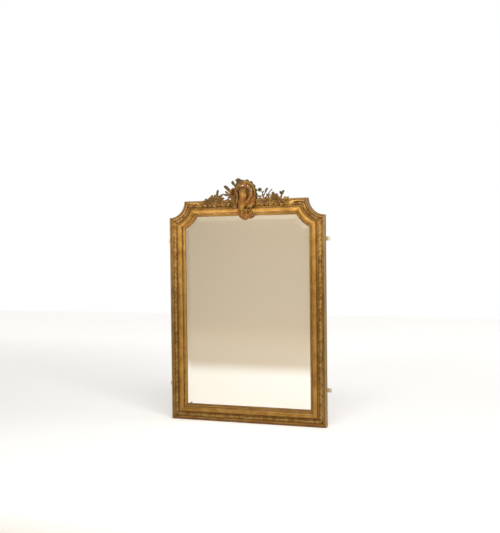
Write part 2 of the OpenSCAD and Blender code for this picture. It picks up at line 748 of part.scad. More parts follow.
// Stem of a spray, then its flowers, then the leaves that stand up from it and hang below it
module left_spray_form() {
    stroke([[-88, 6, -20, 8], [-130, 6, -22, 7], [-180, 6, -22, 8], [-236, 6, -22, 7], [-284, 4, -20, 5]]);
    for (p = [[-214, 13, 2, 23], [-182, 14, -4, 21], [-152, 13, 2, 18], [-245, 11, -8, 17], [-122, 12, -14, 16]])
        flower(p, p[3]);
    for (p = [
        [-276, -20, -302, -4, 16], [-270, -18, -267, 12, 17], [-252, -8, -243, 24, 18], [-238, -4, -224, 37, 20],
        [-212, 6, -206, 42, 19], [-196, 2, -188, 35, 18], [-184, -2, -171, 65, 18], [-168, 0, -146, 41, 20],
        [-152, 2, -128, 20, 18], [-122, -10, -100, 8, 20], [-268, -22, -288, -36, 16], [-244, -24, -258, -42, 18],
        [-216, -24, -226, -43, 19], [-188, -24, -194, -43, 19], [-160, -24, -162, -43, 19],
        [-132, -24, -130, -43, 19], [-104, -22, -96, -42, 19]])
        leaf([p[0], 8, p[1]], [p[2], p[3] < -30 ? 5 : 8, p[3]], p[4]);
}

module right_spray_form() {
    stroke([[86, 6, -22, 8], [132, 6, -25, 7], [180, 6, -22, 8], [236, 6, -22, 7], [276, 4, -18, 5]]);
    // Ball flower, tall leaf, tendril and bud, each on its own stalk
    stroke([[96, 9, -16, 4], [97, 10, 18, 2.6], [101, 10, 46, 2.2]]);
    ball([101, 10, 57, 13], 12);
    stroke([[118, 9, -18, 4], [124, 10, 8, 2.6], [136, 10, 40, 2.2]]);
    stroke([[134, 9, -18, 4], [150, 10, 14, 2.6], [166, 10, 40, 2.2], [175, 10, 56, 2.2]]);
    stroke([[224, 9, -16, 4], [232, 10, 10, 3], [238, 10, 26, 3.6]]);
    ball([240, 10, 36, 8], 10);
    for (p = [[182, 14, 6, 25], [146, 12, -10, 19], [215, 13, -8, 20], [116, 11, -12, 17]])
        flower(p, p[3], p[3] > 22 ? 6 : 5);
    for (p = [
        [134, 34, 147, 65, 17], [124, 6, 112, 26, 14], [148, 10, 168, 22, 15], [176, 12, 181, 36, 20],
        [240, 30, 251, 46, 12], [200, 0, 214, 22, 18], [246, -20, 262, 14, 18], [262, -14, 280, 7, 17],
        [268, -18, 302, -10, 16], [260, -20, 282, -36, 16], [234, -24, 246, -43, 18], [206, -24, 212, -43, 19],
        [178, -24, 182, -43, 19], [150, -24, 152, -43, 19], [122, -24, 122, -43, 19], [96, -22, 90, -42, 17],
        [104, -14, 90, 10, 18]])
        leaf([p[0], 8, p[1]], [p[2], p[3] < -30 ? 5 : 8, p[3]], p[4]);
}

module cartouche() color(bright_gilt) difference() {
    cartouche_form();
    seat();
}

module cartouche_rim() color(gilt) difference() {
    cartouche_rim_form();
    cartouche_form();
    seat();
}

module left_scroll() color(gilt) difference() {
    left_scroll_form();
    cartouche_form();
    seat();
}

module pendant() color(bright_gilt) difference() {
    pendant_form();
    cartouche_form();
    cartouche_rim_form();
    seat();
}

module acanthus_leaves() color(dusty_gilt) difference() {
    acanthus_form();
    cartouche_form();
    left_scroll_form();
    seat();
}

module finial_leaves() color(dusty_gilt) difference() {
    finial_form();
    cartouche_form();
    cartouche_rim_form();
    seat();
}

module left_spray() color(dusty_gilt) difference() {
    scale([spray_k, 1, 1]) left_spray_form();
    acanthus_form();
    left_scroll_form();
    seat();
}

module right_spray() color(dusty_gilt) difference() {
    scale([spray_k, 1, 1]) right_spray_form();
    cartouche_form();
    cartouche_rim_form();
    seat();
}

left_stile();
right_stile();
top_rail();
bottom_rail();
left_corner_block();
right_corner_block();
corner_keys();
left_moulding();
right_moulding();
top_moulding();
bottom_moulding();
left_corner_moulding();
right_corner_moulding();
left_leaf_strip();
right_leaf_strip();
bottom_leaf_strip();
top_left_leaf_strip();
top_right_leaf_strip();
left_corner_leaf_strip();
right_corner_leaf_strip();
left_sight_bead();
right_sight_bead();
top_sight_bead();
bottom_sight_bead();
left_corner_sight_bead();
right_corner_sight_bead();
mirror_plate();
glazing_blocks();
backboard(1);  // backboard_1
backboard(2);  // backboard_2
backboard(3);  // backboard_3
backboard(4);  // backboard_4
backboard(5);  // backboard_5
backboard(6);  // backboard_6
backboard_nails();
lower_left_wall_plate();
lower_right_wall_plate();
upper_left_wall_plate();
upper_right_wall_plate();
wall_plate_screws();
crest_block();
left_crest_strap();
right_crest_strap();
crest_strap_screws();
cartouche();
cartouche_rim();
left_scroll();
pendant();
acanthus_leaves();
finial_leaves();
left_spray();
right_spray();
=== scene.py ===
"""Looks of a gilt overmantel mirror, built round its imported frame.

x runs across the frame from its middle, z up from its foot, and y = 0 is the wall, in metres.
Ornament is worked in millimetres and turned to metres when its mesh is made. A section is drawn
with w, the distance in from the frame's outer edge, and h, the height off the wall.
"""

from __future__ import annotations

import json
import logging
import math
from dataclasses import dataclass
from enum import Enum
from functools import partial
from typing import Any, Callable, Iterable, Sequence

import bpy
import numpy as np
import openvdb
from mathutils import Matrix, Vector

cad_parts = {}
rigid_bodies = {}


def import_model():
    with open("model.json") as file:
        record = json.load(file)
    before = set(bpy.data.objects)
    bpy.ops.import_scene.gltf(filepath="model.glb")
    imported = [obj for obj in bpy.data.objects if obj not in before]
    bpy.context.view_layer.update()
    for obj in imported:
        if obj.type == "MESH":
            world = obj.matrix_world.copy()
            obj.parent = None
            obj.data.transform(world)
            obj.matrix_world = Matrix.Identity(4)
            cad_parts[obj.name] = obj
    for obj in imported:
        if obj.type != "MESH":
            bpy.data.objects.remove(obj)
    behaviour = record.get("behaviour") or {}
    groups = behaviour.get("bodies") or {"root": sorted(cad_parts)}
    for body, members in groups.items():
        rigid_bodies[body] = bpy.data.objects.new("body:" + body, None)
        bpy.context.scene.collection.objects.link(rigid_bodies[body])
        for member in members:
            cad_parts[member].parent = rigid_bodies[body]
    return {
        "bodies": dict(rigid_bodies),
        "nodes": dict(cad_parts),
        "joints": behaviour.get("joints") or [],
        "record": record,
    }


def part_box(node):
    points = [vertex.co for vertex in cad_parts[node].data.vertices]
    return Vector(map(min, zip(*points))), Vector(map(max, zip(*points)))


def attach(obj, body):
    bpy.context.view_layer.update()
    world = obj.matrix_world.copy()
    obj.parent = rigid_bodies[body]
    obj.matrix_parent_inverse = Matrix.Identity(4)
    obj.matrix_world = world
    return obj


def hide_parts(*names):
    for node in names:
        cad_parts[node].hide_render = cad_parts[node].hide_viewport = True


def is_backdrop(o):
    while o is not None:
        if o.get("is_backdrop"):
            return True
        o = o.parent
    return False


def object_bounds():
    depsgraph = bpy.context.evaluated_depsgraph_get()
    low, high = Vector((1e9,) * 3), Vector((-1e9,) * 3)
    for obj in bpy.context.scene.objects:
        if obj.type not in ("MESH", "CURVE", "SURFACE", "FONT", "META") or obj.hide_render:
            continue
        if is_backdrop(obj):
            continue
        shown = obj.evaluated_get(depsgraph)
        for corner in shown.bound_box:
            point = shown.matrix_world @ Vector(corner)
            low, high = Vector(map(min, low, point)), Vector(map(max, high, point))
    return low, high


log = logging.getLogger("overmantel")
MM = 0.001
# How much wider and deeper the broad hollows are than the fine ones; both are darkened as painted shade, with
# the toning that lies in them.
BROADER, DEEPER = 9, 5
Array = np.ndarray
Point = Sequence[float]


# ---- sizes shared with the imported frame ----


@dataclass(frozen=True)
class FrameSizes:
    """Main sizes of the frame, in millimetres, as the source has them."""

    width: float = 1000.0
    height: float = 1386.0
    notch: float = 103.0
    board: float = 26.0
    bead: float = 9.0
    hollow: float = 9.0
    ground: float = 28.0
    ground_h: float = 38.0
    quirk: float = 6.0
    quirk_d: float = 3.0
    torus: float = 30.0
    torus_h: float = 58.0
    bed: float = 9.0
    splay: float = 7.0
    splay_d: float = 4.0
    bare_strip: float = 67.0

    @property
    def ground_0(self) -> float:
        """Distance in to the ornament's ground."""
        return self.bead + self.hollow

    @property
    def ground_1(self) -> float:
        """Distance in to the ground's inner edge."""
        return self.ground_0 + self.ground

    @property
    def ground_mid(self) -> float:
        """Distance in to the middle of the ground."""
        return self.ground_0 + self.ground / 2

    @property
    def torus_0(self) -> float:
        """Distance in to the torus."""
        return self.ground_1 + self.quirk

    @property
    def torus_1(self) -> float:
        """Distance in to the torus's inner side."""
        return self.torus_0 + self.torus

    @property
    def rail(self) -> float:
        """Width of the whole moulding."""
        return self.torus_1 + self.bed + self.splay

    @property
    def bed_h(self) -> float:
        """Height of the bed beside the torus."""
        return self.ground_h - self.quirk_d

    @property
    def pearl_w(self) -> float:
        """Distance in to the row of pearls."""
        return self.torus_1 + self.bed / 2

    def mitre(self, w: Any) -> Any:
        """Distance along a straight edge from the corner to the mitre, a parabola, at a distance w in."""
        return np.sqrt(self.notch * self.notch + 2 * self.notch * w)


SIZES = FrameSizes()


# ---- meshes as arrays ----


@dataclass
class Solid:
    """A mesh as arrays: points in millimetres, and faces of three or four corners."""

    points: Array
    faces: list[Array]


def join_all(solids: Iterable[Solid]) -> Solid:
    """Joins meshes into one.

    Args:
        solids: the meshes.

    Returns:
        One mesh.
    """
    held = list(solids)
    starts = np.cumsum([0] + [len(s.points) for s in held])
    return Solid(np.vstack([s.points for s in held]), [f + n for s, n in zip(held, starts) for f in s.faces])


def skin(rings: Array, flip: bool = False) -> Solid:
    """Closed skin over rings of points, with a flat face at each end.

    Args:
        rings: the points, ring by ring.
        flip: whether the faces are turned over.

    Returns:
        The mesh.
    """
    rows, n = rings.shape[:2]
    i, j = np.meshgrid(np.arange(rows - 1), np.arange(n), indexing="ij")
    k = (j + 1) % n
    sides = np.stack([i * n + j, (i + 1) * n + j, (i + 1) * n + k, i * n + k], -1).reshape(-1, 4)
    ends = [np.arange(n)[::-1][None], (np.arange(n) + (rows - 1) * n)[None]]
    return Solid(rings.reshape(-1, 3), [f[:, ::-1] if flip else f for f in (sides, *ends)])


def unit(rows: Array) -> Array:
    """Rows of vectors, each made one unit long."""
    return rows / np.maximum(np.linalg.norm(rows, axis=1, keepdims=True), 1e-9)


def share(value: Any) -> Any:
    """Holds a number or an array between 0 and 1."""
    return np.clip(value, 0, 1)


def hump(value: Array) -> Array:
    """A smooth hump, 1 high where the value is 0 and gone two units off."""
    return np.exp(-(value**2))


def placed(name: str, data: Any) -> bpy.types.Object:
    """Makes an object at the origin and puts it in the scene.

    Args:
        name: its name.
        data: its mesh, lamp or camera.

    Returns:
        The object.
    """
    obj = bpy.data.objects.new(name, data)
    bpy.context.scene.collection.objects.link(obj)
    return obj


def relief(points: Array, faces: list[Array], rounds: int) -> Array:
    """How hollow or proud each point lies against its neighbourhood.

    Args:
        points: the mesh's points.
        faces: its faces.
        rounds: how many times the surface is averaged, which sets the scale.

    Returns:
        Signed distance to the averaged surface, above zero in a hollow.
    """
    pairs = []
    for f in faces:
        n = f.shape[-1]
        pairs.extend(np.stack([f[..., i].ravel(), f[..., (i + 1) % n].ravel()], -1) for i in range(n))
    edge = np.unique(np.sort(np.vstack(pairs), 1), axis=0)
    a, b = np.vstack([edge, edge[:, ::-1]]).T
    count = np.maximum(np.bincount(a, minlength=len(points)), 1)[:, None]
    soft = points.astype(float)
    for _ in range(rounds):
        near = np.stack([np.bincount(a, soft[b, k], len(points)) for k in range(3)], -1) / count
        soft = 0.5 * soft + 0.5 * near
    normal = np.zeros_like(soft)
    for f in faces:
        p = points[f]
        n = np.cross(p[:, 1] - p[:, 0], p[:, 2] - p[:, 0])
        if f.shape[1] == 4:
            n = n + np.cross(p[:, 2] - p[:, 0], p[:, 3] - p[:, 0])
        for k in range(f.shape[1]):
            for axis in range(3):
                normal[:, axis] += np.bincount(f[:, k], n[:, axis], len(points))
    return ((soft - points) * unit(normal)).sum(1)


def make_piece(
    name: str,
    solid: Solid,
    material: bpy.types.Material,
    depth: float = 1.0,
    rounds: int = 6,
    rubbed: Callable[[Array], Array] | None = None,
    toning_and_painted_shading: Callable[[Array], Array] | None = None,
) -> bpy.types.Object:
    """Makes an object of a mesh, with its hollows and proud edges written as painted shade and painted
    highlight, and its rubbed places, as attributes.

    Args:
        name: the piece's name.
        solid: its mesh in millimetres.
        material: its finish.
        depth: relief in millimetres that counts as fully hollow.
        rounds: scale of the relief.
        rubbed: gives, for points in millimetres, how far the leaf is rubbed through there.
        toning_and_painted_shading: gives how much more toning and painted shade lies there, or painted light
            below zero.

    Returns:
        The object, at the origin.
    """
    groups: dict[int, list[Array]] = {}
    for f in solid.faces:
        f = np.atleast_2d(f)
        groups.setdefault(f.shape[1], []).append(f)
    faces = [np.vstack(g) for g in groups.values()]
    # The relief attribute is painted shade in hollows and a painted highlight on proud points, on top of the
    # gilder's toning.
    fine = relief(solid.points, faces, rounds) / depth
    broad = relief(solid.points, faces, BROADER * rounds) / (DEEPER * depth)
    tone = fine + broad
    if toning_and_painted_shading is not None:
        tone = tone + toning_and_painted_shading(solid.points)
    rub = np.zeros(len(tone)) if rubbed is None else rubbed(solid.points)
    mesh = bpy.data.meshes.new(name)
    loops = np.concatenate([f.ravel() for f in faces])
    sizes = np.concatenate([np.full(len(f), f.shape[1]) for f in faces])
    mesh.vertices.add(len(solid.points))
    mesh.vertices.foreach_set("co", (solid.points * MM).astype(np.float32).ravel())
    mesh.loops.add(len(loops))
    mesh.loops.foreach_set("vertex_index", loops.astype(np.int32))
    mesh.polygons.add(len(sizes))
    mesh.polygons.foreach_set("loop_start", np.concatenate([[0], np.cumsum(sizes)[:-1]]).astype(np.int32))
    mesh.update(calc_edges=True)
    mesh.validate()
    for label, values in (("relief", tone), ("rubbed", rub)):
        held = mesh.attributes.new(label, "FLOAT", "POINT")
        held.data.foreach_set("value", np.clip(values, -1, 1).astype(np.float32))
    mesh.polygons.foreach_set("use_smooth", np.full(len(mesh.polygons), True))
    mesh.materials.append(material)
    return placed(name, mesh)


def waviness(a: Array, b: Array, seed: int, length: float) -> Array:
    """Smooth unevenness from 0 to 1, as hand work leaves.

    Args:
        a: first coordinate in millimetres.
        b: second coordinate in millimetres.
        seed: picks the pattern.
        length: rough length of a wave in millimetres.

    Returns:
        Values from 0 to 1.
    """
    rng = np.random.default_rng(seed)
    total = np.zeros(np.broadcast(a, b).shape)
    for _ in range(7):
        turn, phase = rng.uniform(0, 2 * np.pi, 2)
        k = 2 * np.pi / (length * rng.uniform(0.6, 1.8))
        total = total + np.sin(k * (np.cos(turn) * a + np.sin(turn) * b) + phase)
    return 0.5 + total / 7


# ---- runs of the moulding ----


class Side(Enum):
    """A length of moulding, in the order in which they go round the frame."""

    LEFT = "left"
    RIGHT = "right"
    TOP = "top"
    BOTTOM = "bottom"
    LEFT_CORNER = "left_corner"
    RIGHT_CORNER = "right_corner"


@dataclass(frozen=True)
class Run:
    """Where a length of moulding lies: u along it from 0 to 1, w in from the edge, h off the wall."""

    side: Side
    sizes: FrameSizes = SIZES

    def place(self, u: Array, w: Array | float, h: Array | float) -> Array:
        """Points of the run, mitred at both ends.

        Args:
            u: share of the length.
            w: distance in from the outer edge.
            h: height off the wall.

        Returns:
            Points in millimetres.
        """
        s = self.sizes
        u, w, h = np.broadcast_arrays(u, w, h)
        half, drop = s.width / 2, s.mitre(w)
        if self.side is Side.BOTTOM:
            x, z = (half - w) + (2 * w - s.width) * u, w.astype(float)
        elif self.side is Side.TOP:
            x, z = (drop - half) * (1 - u) + (half - drop) * u, s.height - w
        elif self.side in (Side.LEFT, Side.RIGHT):
            x, z = w - half, w * (1 - u) + (s.height - drop) * u
        else:
            low = np.arctan2(drop, w)
            a = low + (np.pi / 2 - 2 * low) * u
            x, z = (s.notch + w) * np.cos(a) - half, s.height - (s.notch + w) * np.sin(a)
        if self.side in (Side.RIGHT, Side.RIGHT_CORNER):
            x = -x
        return np.stack([x, -h, z], -1)

    @property
    def flips(self) -> bool:
        """Whether a grid with rows along the run and points across it faces the wall."""
        return self.side in (Side.LEFT, Side.RIGHT_CORNER)

    def length(self, w: float) -> float:
        """Length of the run at a distance w in from the edge."""
        p = self.place(np.linspace(0, 1, 60), w, 0.0)
        return float(np.linalg.norm(np.diff(p, axis=0), axis=1).sum())


def arc(cw: float, ch: float, r: float, start: float, end: float, n: int) -> list[tuple[float, float]]:
    """Points of an arc in a section, about (cw, ch), from one angle in degrees to another in n steps."""
    angles = np.radians(np.linspace(start, end, n + 1))
    return [(cw + r * math.cos(a), ch + r * math.sin(a)) for a in angles]


def moulding_section(s: FrameSizes) -> Array:
    """Closed outline of the moulding, with the fine fillets beside the ornament and the torus.

    Args:
        s: the frame's sizes.

    Returns:
        Points (w, h), from the back's outer corner round over the face.
    """
    fine = 1.4
    bead_c = s.ground_h + s.hollow
    pts = [(0.0, s.board), (0.0, bead_c - 1)]
    pts += arc(s.bead / 2, bead_c, s.bead / 2, 180, 12, 12)
    pts += arc(s.ground_0, bead_c, s.hollow, 186, 262, 8)
    pts += [(s.ground_0, s.ground_h + 0.4), (s.ground_0 + 0.6, s.ground_h)]
    pts += [(s.ground_mid, s.ground_h), (s.ground_1 - 2.0, s.ground_h)]
    pts += arc(s.ground_1 - 1.0, s.ground_h + 0.4, fine, 190, 0, 6)
    pts += [(s.ground_1 + 0.8, s.bed_h + 0.3), (s.ground_1 + 1.6, s.bed_h)]
    pts += arc(s.torus_0 - 1.6, s.bed_h + 0.2, fine, 180, 0, 6)
    centre = s.torus_0 + s.torus / 2
    pts += [(s.torus_0 + 0.1, s.bed_h + 0.2)]
    pts += arc(centre, s.torus_h - s.torus / 2, s.torus / 2, 180, 0, 26)
    pts += [(s.torus_1 + 0.2, s.bed_h), (s.pearl_w - 3.4, s.bed_h - 0.4), (s.pearl_w + 3.4, s.bed_h - 0.4)]
    pts += [(s.torus_1 + s.bed - 0.4, s.bed_h + 0.6), (s.torus_1 + s.bed + 0.4, s.bed_h)]
    pts += [(s.rail - 1.2, s.bed_h - s.splay_d + 0.8), (s.rail, s.bed_h - s.splay_d - 0.4), (s.rail, s.board)]
    return np.array(pts)


def distance_in(points: Array, s: FrameSizes = SIZES) -> Array:
    """How far each point lies in from the frame's outer edge, round the concave corners too.

    Args:
        points: points in millimetres, in the frame's space.
        s: the frame's sizes.

    Returns:
        Distances in millimetres.
    """
    x, z = np.abs(points[:, 0]), points[:, 2]
    corner = np.hypot(s.width / 2 - x, s.height - z) - s.notch
    return np.minimum.reduce([s.width / 2 - x, z, s.height - z, corner])


@dataclass
class Mouldings:
    """The six lengths of gilt moulding, run by hand in gesso and mitred."""

    sizes: FrameSizes = SIZES
    step: float = 7.0
    uneven: float = 0.35
    eased: float = 0.7

    def length_of(self, side: Side) -> Solid:
        """Mesh of one length.

        Args:
            side: which length.

        Returns:
            A closed mesh.
        """
        run, s = Run(side, self.sizes), self.sizes
        section = moulding_section(s)
        long = run.length(s.rail / 2)
        rows = max(24, round(long / self.step))
        ease = 1.0 / long
        ends = np.array([0, ease, 3 * ease])
        u = np.unique(np.concatenate([ends, np.linspace(0.02, 0.98, rows), 1 - ends]))
        uu, w = np.meshgrid(u, section[:, 0], indexing="ij")
        h = np.broadcast_to(section[:, 1], uu.shape).copy()
        face = h > s.board + 0.1
        along = uu * long
        seed = 11 + list(Side).index(side)
        h += np.where(face, self.uneven * (waviness(along, w * 3, seed, 60) - 0.5), 0)
        # The mitred ends are eased, so the joint shows as a fine line.
        near_end = np.minimum(uu, 1 - uu) * long
        h -= np.where(face, self.eased * share(1 - near_end / 1.2), 0)
        return skin(run.place(uu, w, h), run.flips)

    def toning_and_painted_shading(self, points: Array) -> Array:
        """Painted shade, with toning, in the low parts of the section and along the foot, and painted light
        on the torus's outer flank, along the right arc and the foot, and in the quirk beside it.

        Args:
            points: points in millimetres, in the frame's space.

        Returns:
            What to add to the relief.
        """
        s = self.sizes
        h, w = -points[:, 1], distance_in(points)
        # Painted shade in the low parts of the section and the cove of the hollow.
        low = share((s.ground_h - 0.6 - h) / 1.2) * (h > s.board + 2)
        cove = hump((w - s.bead - 0.62 * s.hollow) / (0.42 * s.hollow))
        flank = hump((w - s.torus_0 - 0.5) / 5.0)
        # The burnished torus gets a painted highlight on the right arc and along the foot.
        bright = np.hypot(points[:, 0] - s.width / 2, points[:, 2] - s.height) < s.notch + s.rail - 2
        bright |= points[:, 2] < s.rail - 2
        shine = bright * hump((w - s.torus_0 - 9.0) / 9.0)
        # Painted light in the quirk beside it there and down the right, and painted shade along the foot.
        quirk_painted_light = (bright | (points[:, 0] > 0)) * hump((w - s.ground_1) / 6.0)
        foot = share((22 - points[:, 2]) / 8)
        return 0.10 * low + 0.05 * cove - 0.42 * flank - 0.7 * shine - 0.6 * quirk_painted_light + 0.4 * foot

    def worn(self, points: Array) -> Array:
        """Grey bloom on the outer edge, where hands and dust reach it, and bare bole along the foot.

        Args:
            points: points in millimetres, in the frame's space.

        Returns:
            Values below zero where the leaf is dull, and above zero where it is rubbed through.
        """
        bloom = -0.55 * share((self.sizes.ground_0 - distance_in(points)) / 12)
        foot = share((19 - points[:, 2]) / 6)
        return bloom * (1 - foot) + 0.45 * foot

    def build(self, finish: bpy.types.Material) -> None:
        """Makes and seats the six lengths.

        Args:
            finish: the gilding.
        """
        for side in Side:
            solid = self.length_of(side)
            obj = make_piece(f"moulding_{side.value}", solid, finish, 0.9, 3, self.worn, self.toning_and_painted_shading)
            seat(obj, f"{side.value}_moulding", slot="gilt_moulding")
    

def seat(obj: bpy.types.Object, node: str, slot: str) -> None:
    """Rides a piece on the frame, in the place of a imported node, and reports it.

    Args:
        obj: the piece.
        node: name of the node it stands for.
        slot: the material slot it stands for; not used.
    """
    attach(obj, "root")
    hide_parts(node)
    log.info("%s: %d faces, stands for %s", obj.name, len(obj.data.polygons), node)


# ---- nodes and trees ----


def srgb(code: str) -> tuple[float, ...]:
    """Linear red, green, blue and 1 of a hex sRGB code, such as "#B4874A"."""
    parts = [int(code[i : i + 2], 16) / 255 for i in (1, 3, 5)]
    return (*[c / 12.92 if c <= 0.04045 else ((c + 0.055) / 1.055) ** 2.4 for c in parts], 1.0)


def plug(tree: Any, node: Any, ins: Any) -> None:
    """Sets a node's inputs.

    Args:
        tree: the node's tree.
        node: the node.
        ins: inputs by name or number, or in their order: each a value, a hex colour, a socket or a node.
    """
    for key, value in ins.items() if isinstance(ins, dict) else enumerate(ins):
        if isinstance(value, bpy.types.Node):
            value = value.outputs[0]
        if isinstance(value, bpy.types.NodeSocket):
            tree.links.new(value, node.inputs[key])
        else:
            node.inputs[key].default_value = srgb(value) if isinstance(value, str) else value


def add(tree: Any, kind: str, ins: Any = (), out: int | str | None = None, **props: Any) -> Any:
    """Adds a node with its settings, values and links.

    Args:
        tree: a shader or geometry node tree.
        kind: the node's type name.
        ins: its inputs, as plug takes them.
        out: the output that is wanted.
        props: settings.

    Returns:
        The node, or the output that is wanted.
    """
    node = tree.nodes.new(kind)
    for key, value in props.items():
        setattr(node, key, value)
    plug(tree, node, ins)
    return node if out is None else node.outputs[out]


@dataclass
class RowAlongPath:
    """A geometry node tree that sets a small motif at even steps along a path, face to the viewer."""

    motif: bpy.types.Object
    material: bpy.types.Material
    pitch: float
    scale: float = 1.0
    vary: float = 0.0
    seed: int = 1

    def tree(self) -> bpy.types.NodeTree:
        """Builds the tree, with named inputs for its sizes.

        Returns:
            The node tree.
        """
        tree = bpy.data.node_groups.new("row_along_path", "GeometryNodeTree")
        kinds = {"Path": "Geometry", "Motif": "Object", "Pitch": "Float", "Scale": "Float"}
        kinds |= {"Variation": "Float", "Seed": "Int", "Material": "Material"}
        for name, kind in kinds.items():
            tree.interface.new_socket(name, in_out="INPUT", socket_type=f"NodeSocket{kind}")
        tree.interface.new_socket("Row", in_out="OUTPUT", socket_type="NodeSocketGeometry")
        part = partial(add, tree)
        given = part("NodeGroupInput").outputs
        curve = part("GeometryNodeMeshToCurve", {"Mesh": given["Path"]})
        long = part("GeometryNodeCurveLength", (curve,))
        count = part("ShaderNodeMath", (long, given["Pitch"]), operation="DIVIDE")
        whole = part("ShaderNodeMath", (count,), operation="ROUND")
        posts = part("ShaderNodeMath", (whole, 1.0), operation="ADD")
        steps = part("GeometryNodeResampleCurve", {"Curve": curve, "Count": posts}, mode="COUNT")
        ahead = {"Vector": part("GeometryNodeInputTangent")}
        turn = part("FunctionNodeAlignRotationToVector", ahead, axis="X")
        facing = {"Rotation": turn, "Vector": (0.0, -1.0, 0.0)}
        turn = part("FunctionNodeAlignRotationToVector", facing, axis="Z", pivot_axis="X")
        about = (given["Scale"], given["Variation"])
        low, high = (part("ShaderNodeMath", about, operation=way) for way in ("SUBTRACT", "ADD"))
        span = {2: low, 3: high, "Seed": given["Seed"]}
        size = part("FunctionNodeRandomValue", span, 1, data_type="FLOAT")
        motif = part("GeometryNodeObjectInfo", {"Object": given["Motif"]}, "Geometry")
        on = {"Points": steps, "Instance": motif, "Rotation": turn, "Scale": size}
        real = part("GeometryNodeRealizeInstances", (part("GeometryNodeInstanceOnPoints", on),))
        dressed = part("GeometryNodeSetMaterial", {"Geometry": real, "Material": given["Material"]})
        part("NodeGroupOutput", (dressed,))
        return tree

    def along(self, name: str, path: Array) -> bpy.types.Object:
        """Runs the motif along a path and returns a plain mesh.

        Args:
            name: the new object's name.
            path: points in millimetres.

        Returns:
            The row as a plain mesh object.
        """
        line = bpy.data.meshes.new(name + "_path")
        line.from_pydata([tuple(p * MM) for p in path], [(i, i + 1) for i in range(len(path) - 1)], [])
        holder = placed(name + "_path", line)
        modifier = holder.modifiers.new("row", "NODES")
        tree = modifier.node_group = self.tree()
        values = {"Motif": self.motif, "Pitch": self.pitch * MM, "Scale": self.scale, "Variation": self.vary}
        values |= {"Seed": self.seed, "Material": self.material}
        for item in tree.interface.items_tree:
            if item.in_out == "INPUT" and item.name in values:
                modifier[item.identifier] = values[item.name]
        mesh = bpy.data.meshes.new_from_object(holder.evaluated_get(bpy.context.evaluated_depsgraph_get()))
        mesh.name = name
        holder.modifiers.remove(modifier)
        bpy.data.objects.remove(holder)
        bpy.data.meshes.remove(line)
        bpy.data.node_groups.remove(tree)
        return placed(name, mesh)


# ---- leaves and flowers ----


class LeafForm(Enum):
    """Outline of a leaf."""

    ACANTHUS = "wide at its foot, with lobes"
    BLADE = "narrow at both ends"
    PETAL = "narrow at its foot, with a round end"


@dataclass(frozen=True)
class Leaf:
    """A pressed or carved leaf, from its foot to its tip, in millimetres.

    Its lobes are cut into its sides by a share of its width. Its middle rises, its line bends aside, its
    edges stand up by cup and its tip turns down by curl.
    """

    foot: Point
    tip: Point
    width: float
    lobes: float = 3.0
    cut: float = 0.35
    rise: float = 5.0
    bend: float = 0.0
    cup: float = 2.5
    curl: float = 0.0
    vein: float = 0.9
    thick: float = 2.6
    form: LeafForm = LeafForm.ACANTHUS
    rows: int = 22
    cols: int = 11

    def outline(self, u: Array) -> Array:
        """Half width along the leaf, as a share of the full half width.

        Args:
            u: share of the length.

        Returns:
            Shares from 0 to 1.
        """
        if self.form is LeafForm.PETAL:
            body = np.sin(np.pi * share(u) ** 1.35) ** 0.55 * 0.94 + 0.06 * (1 - u)
        elif self.form is LeafForm.BLADE:
            body = 2.1 * share(u) ** 0.75 * (1 - u) ** 0.62 + 0.20 * (1 - u)
        else:
            body = (1 - u) ** 0.72 * (0.25 + 0.75 * share(u / 0.28) ** 0.7) * 1.12
        tooth = (self.lobes * u + 0.18) % 1.0
        notch = np.where(tooth < 0.78, tooth / 0.78, (1 - tooth) / 0.22)
        return share(body) * (1 - self.cut * (1 - notch) ** 1.4 * (u > 0.04))

    def mesh(self) -> Solid:
        """Closed mesh of the leaf, in the leaf's own x, height and z.

        Returns:
            The mesh, with points (x, h, z).
        """
        foot, tip = np.array(self.foot, float), np.array(self.tip, float)
        d = tip - foot
        side = np.array([-d[2], 0, d[0]]) / max(np.hypot(d[0], d[2]), 1e-6)
        u, v = np.meshgrid(np.linspace(0, 1, self.rows), np.linspace(-1, 1, self.cols), indexing="ij")
        sweep = share(u + 0.10 * np.abs(v) ** 1.5 * np.sin(np.pi * u))
        swell = 4 * sweep * (1 - sweep)
        half = self.width / 2 * self.outline(u)
        base = foot + d * sweep[..., None] + side * (self.bend * swell)[..., None]
        phase = 2 * np.pi * (self.lobes * (u - 0.22 * np.abs(v)) + 0.18)
        ribs = self.vein * (-np.cos(phase)) * np.abs(v) ** 0.7 * np.sin(np.pi * u) * 0.6
        midrib = self.vein * 1.3 * hump(v / 0.16) - 0.6 * self.vein * hump((np.abs(v) - 0.3) / 0.16)
        lift = self.rise * swell + self.cup * (v**2 - 0.3) * half / max(self.width / 2, 1e-6) + ribs + midrib
        lift = lift - self.curl * share((u - 0.62) / 0.38) ** 2
        front = base + side * (v * half)[..., None]
        front[..., 1] += lift
        body = self.thick * (1 - 0.72 * np.abs(v) ** 2.5) * (0.45 + 0.55 * np.sin(np.pi * share(u + 0.12)))
        back = front.copy()
        back[..., 1] -= np.maximum(body, 0.5)
        return skin(np.concatenate([front, back[:, ::-1]], 1))


def ball(centre: Point, r: float, n: int = 10, flat: float = 1.0) -> Solid:
    """A ball, or a flattened one.

    Args:
        centre: its centre (x, h, z).
        r: radius.
        n: segments round it.
        flat: share of the radius that its height has.

    Returns:
        A closed mesh.
    """
    rings = max(5, n // 2 + 1)
    t = np.linspace(0.12, np.pi - 0.12, rings)
    a = np.linspace(0, 2 * np.pi, n, endpoint=False)
    tt, aa = np.meshgrid(t, a, indexing="ij")
    round_it = np.stack([np.sin(tt) * np.cos(aa), np.cos(tt) * flat, np.sin(tt) * np.sin(aa)], -1)
    return skin(round_it * r + np.array(centre, float))


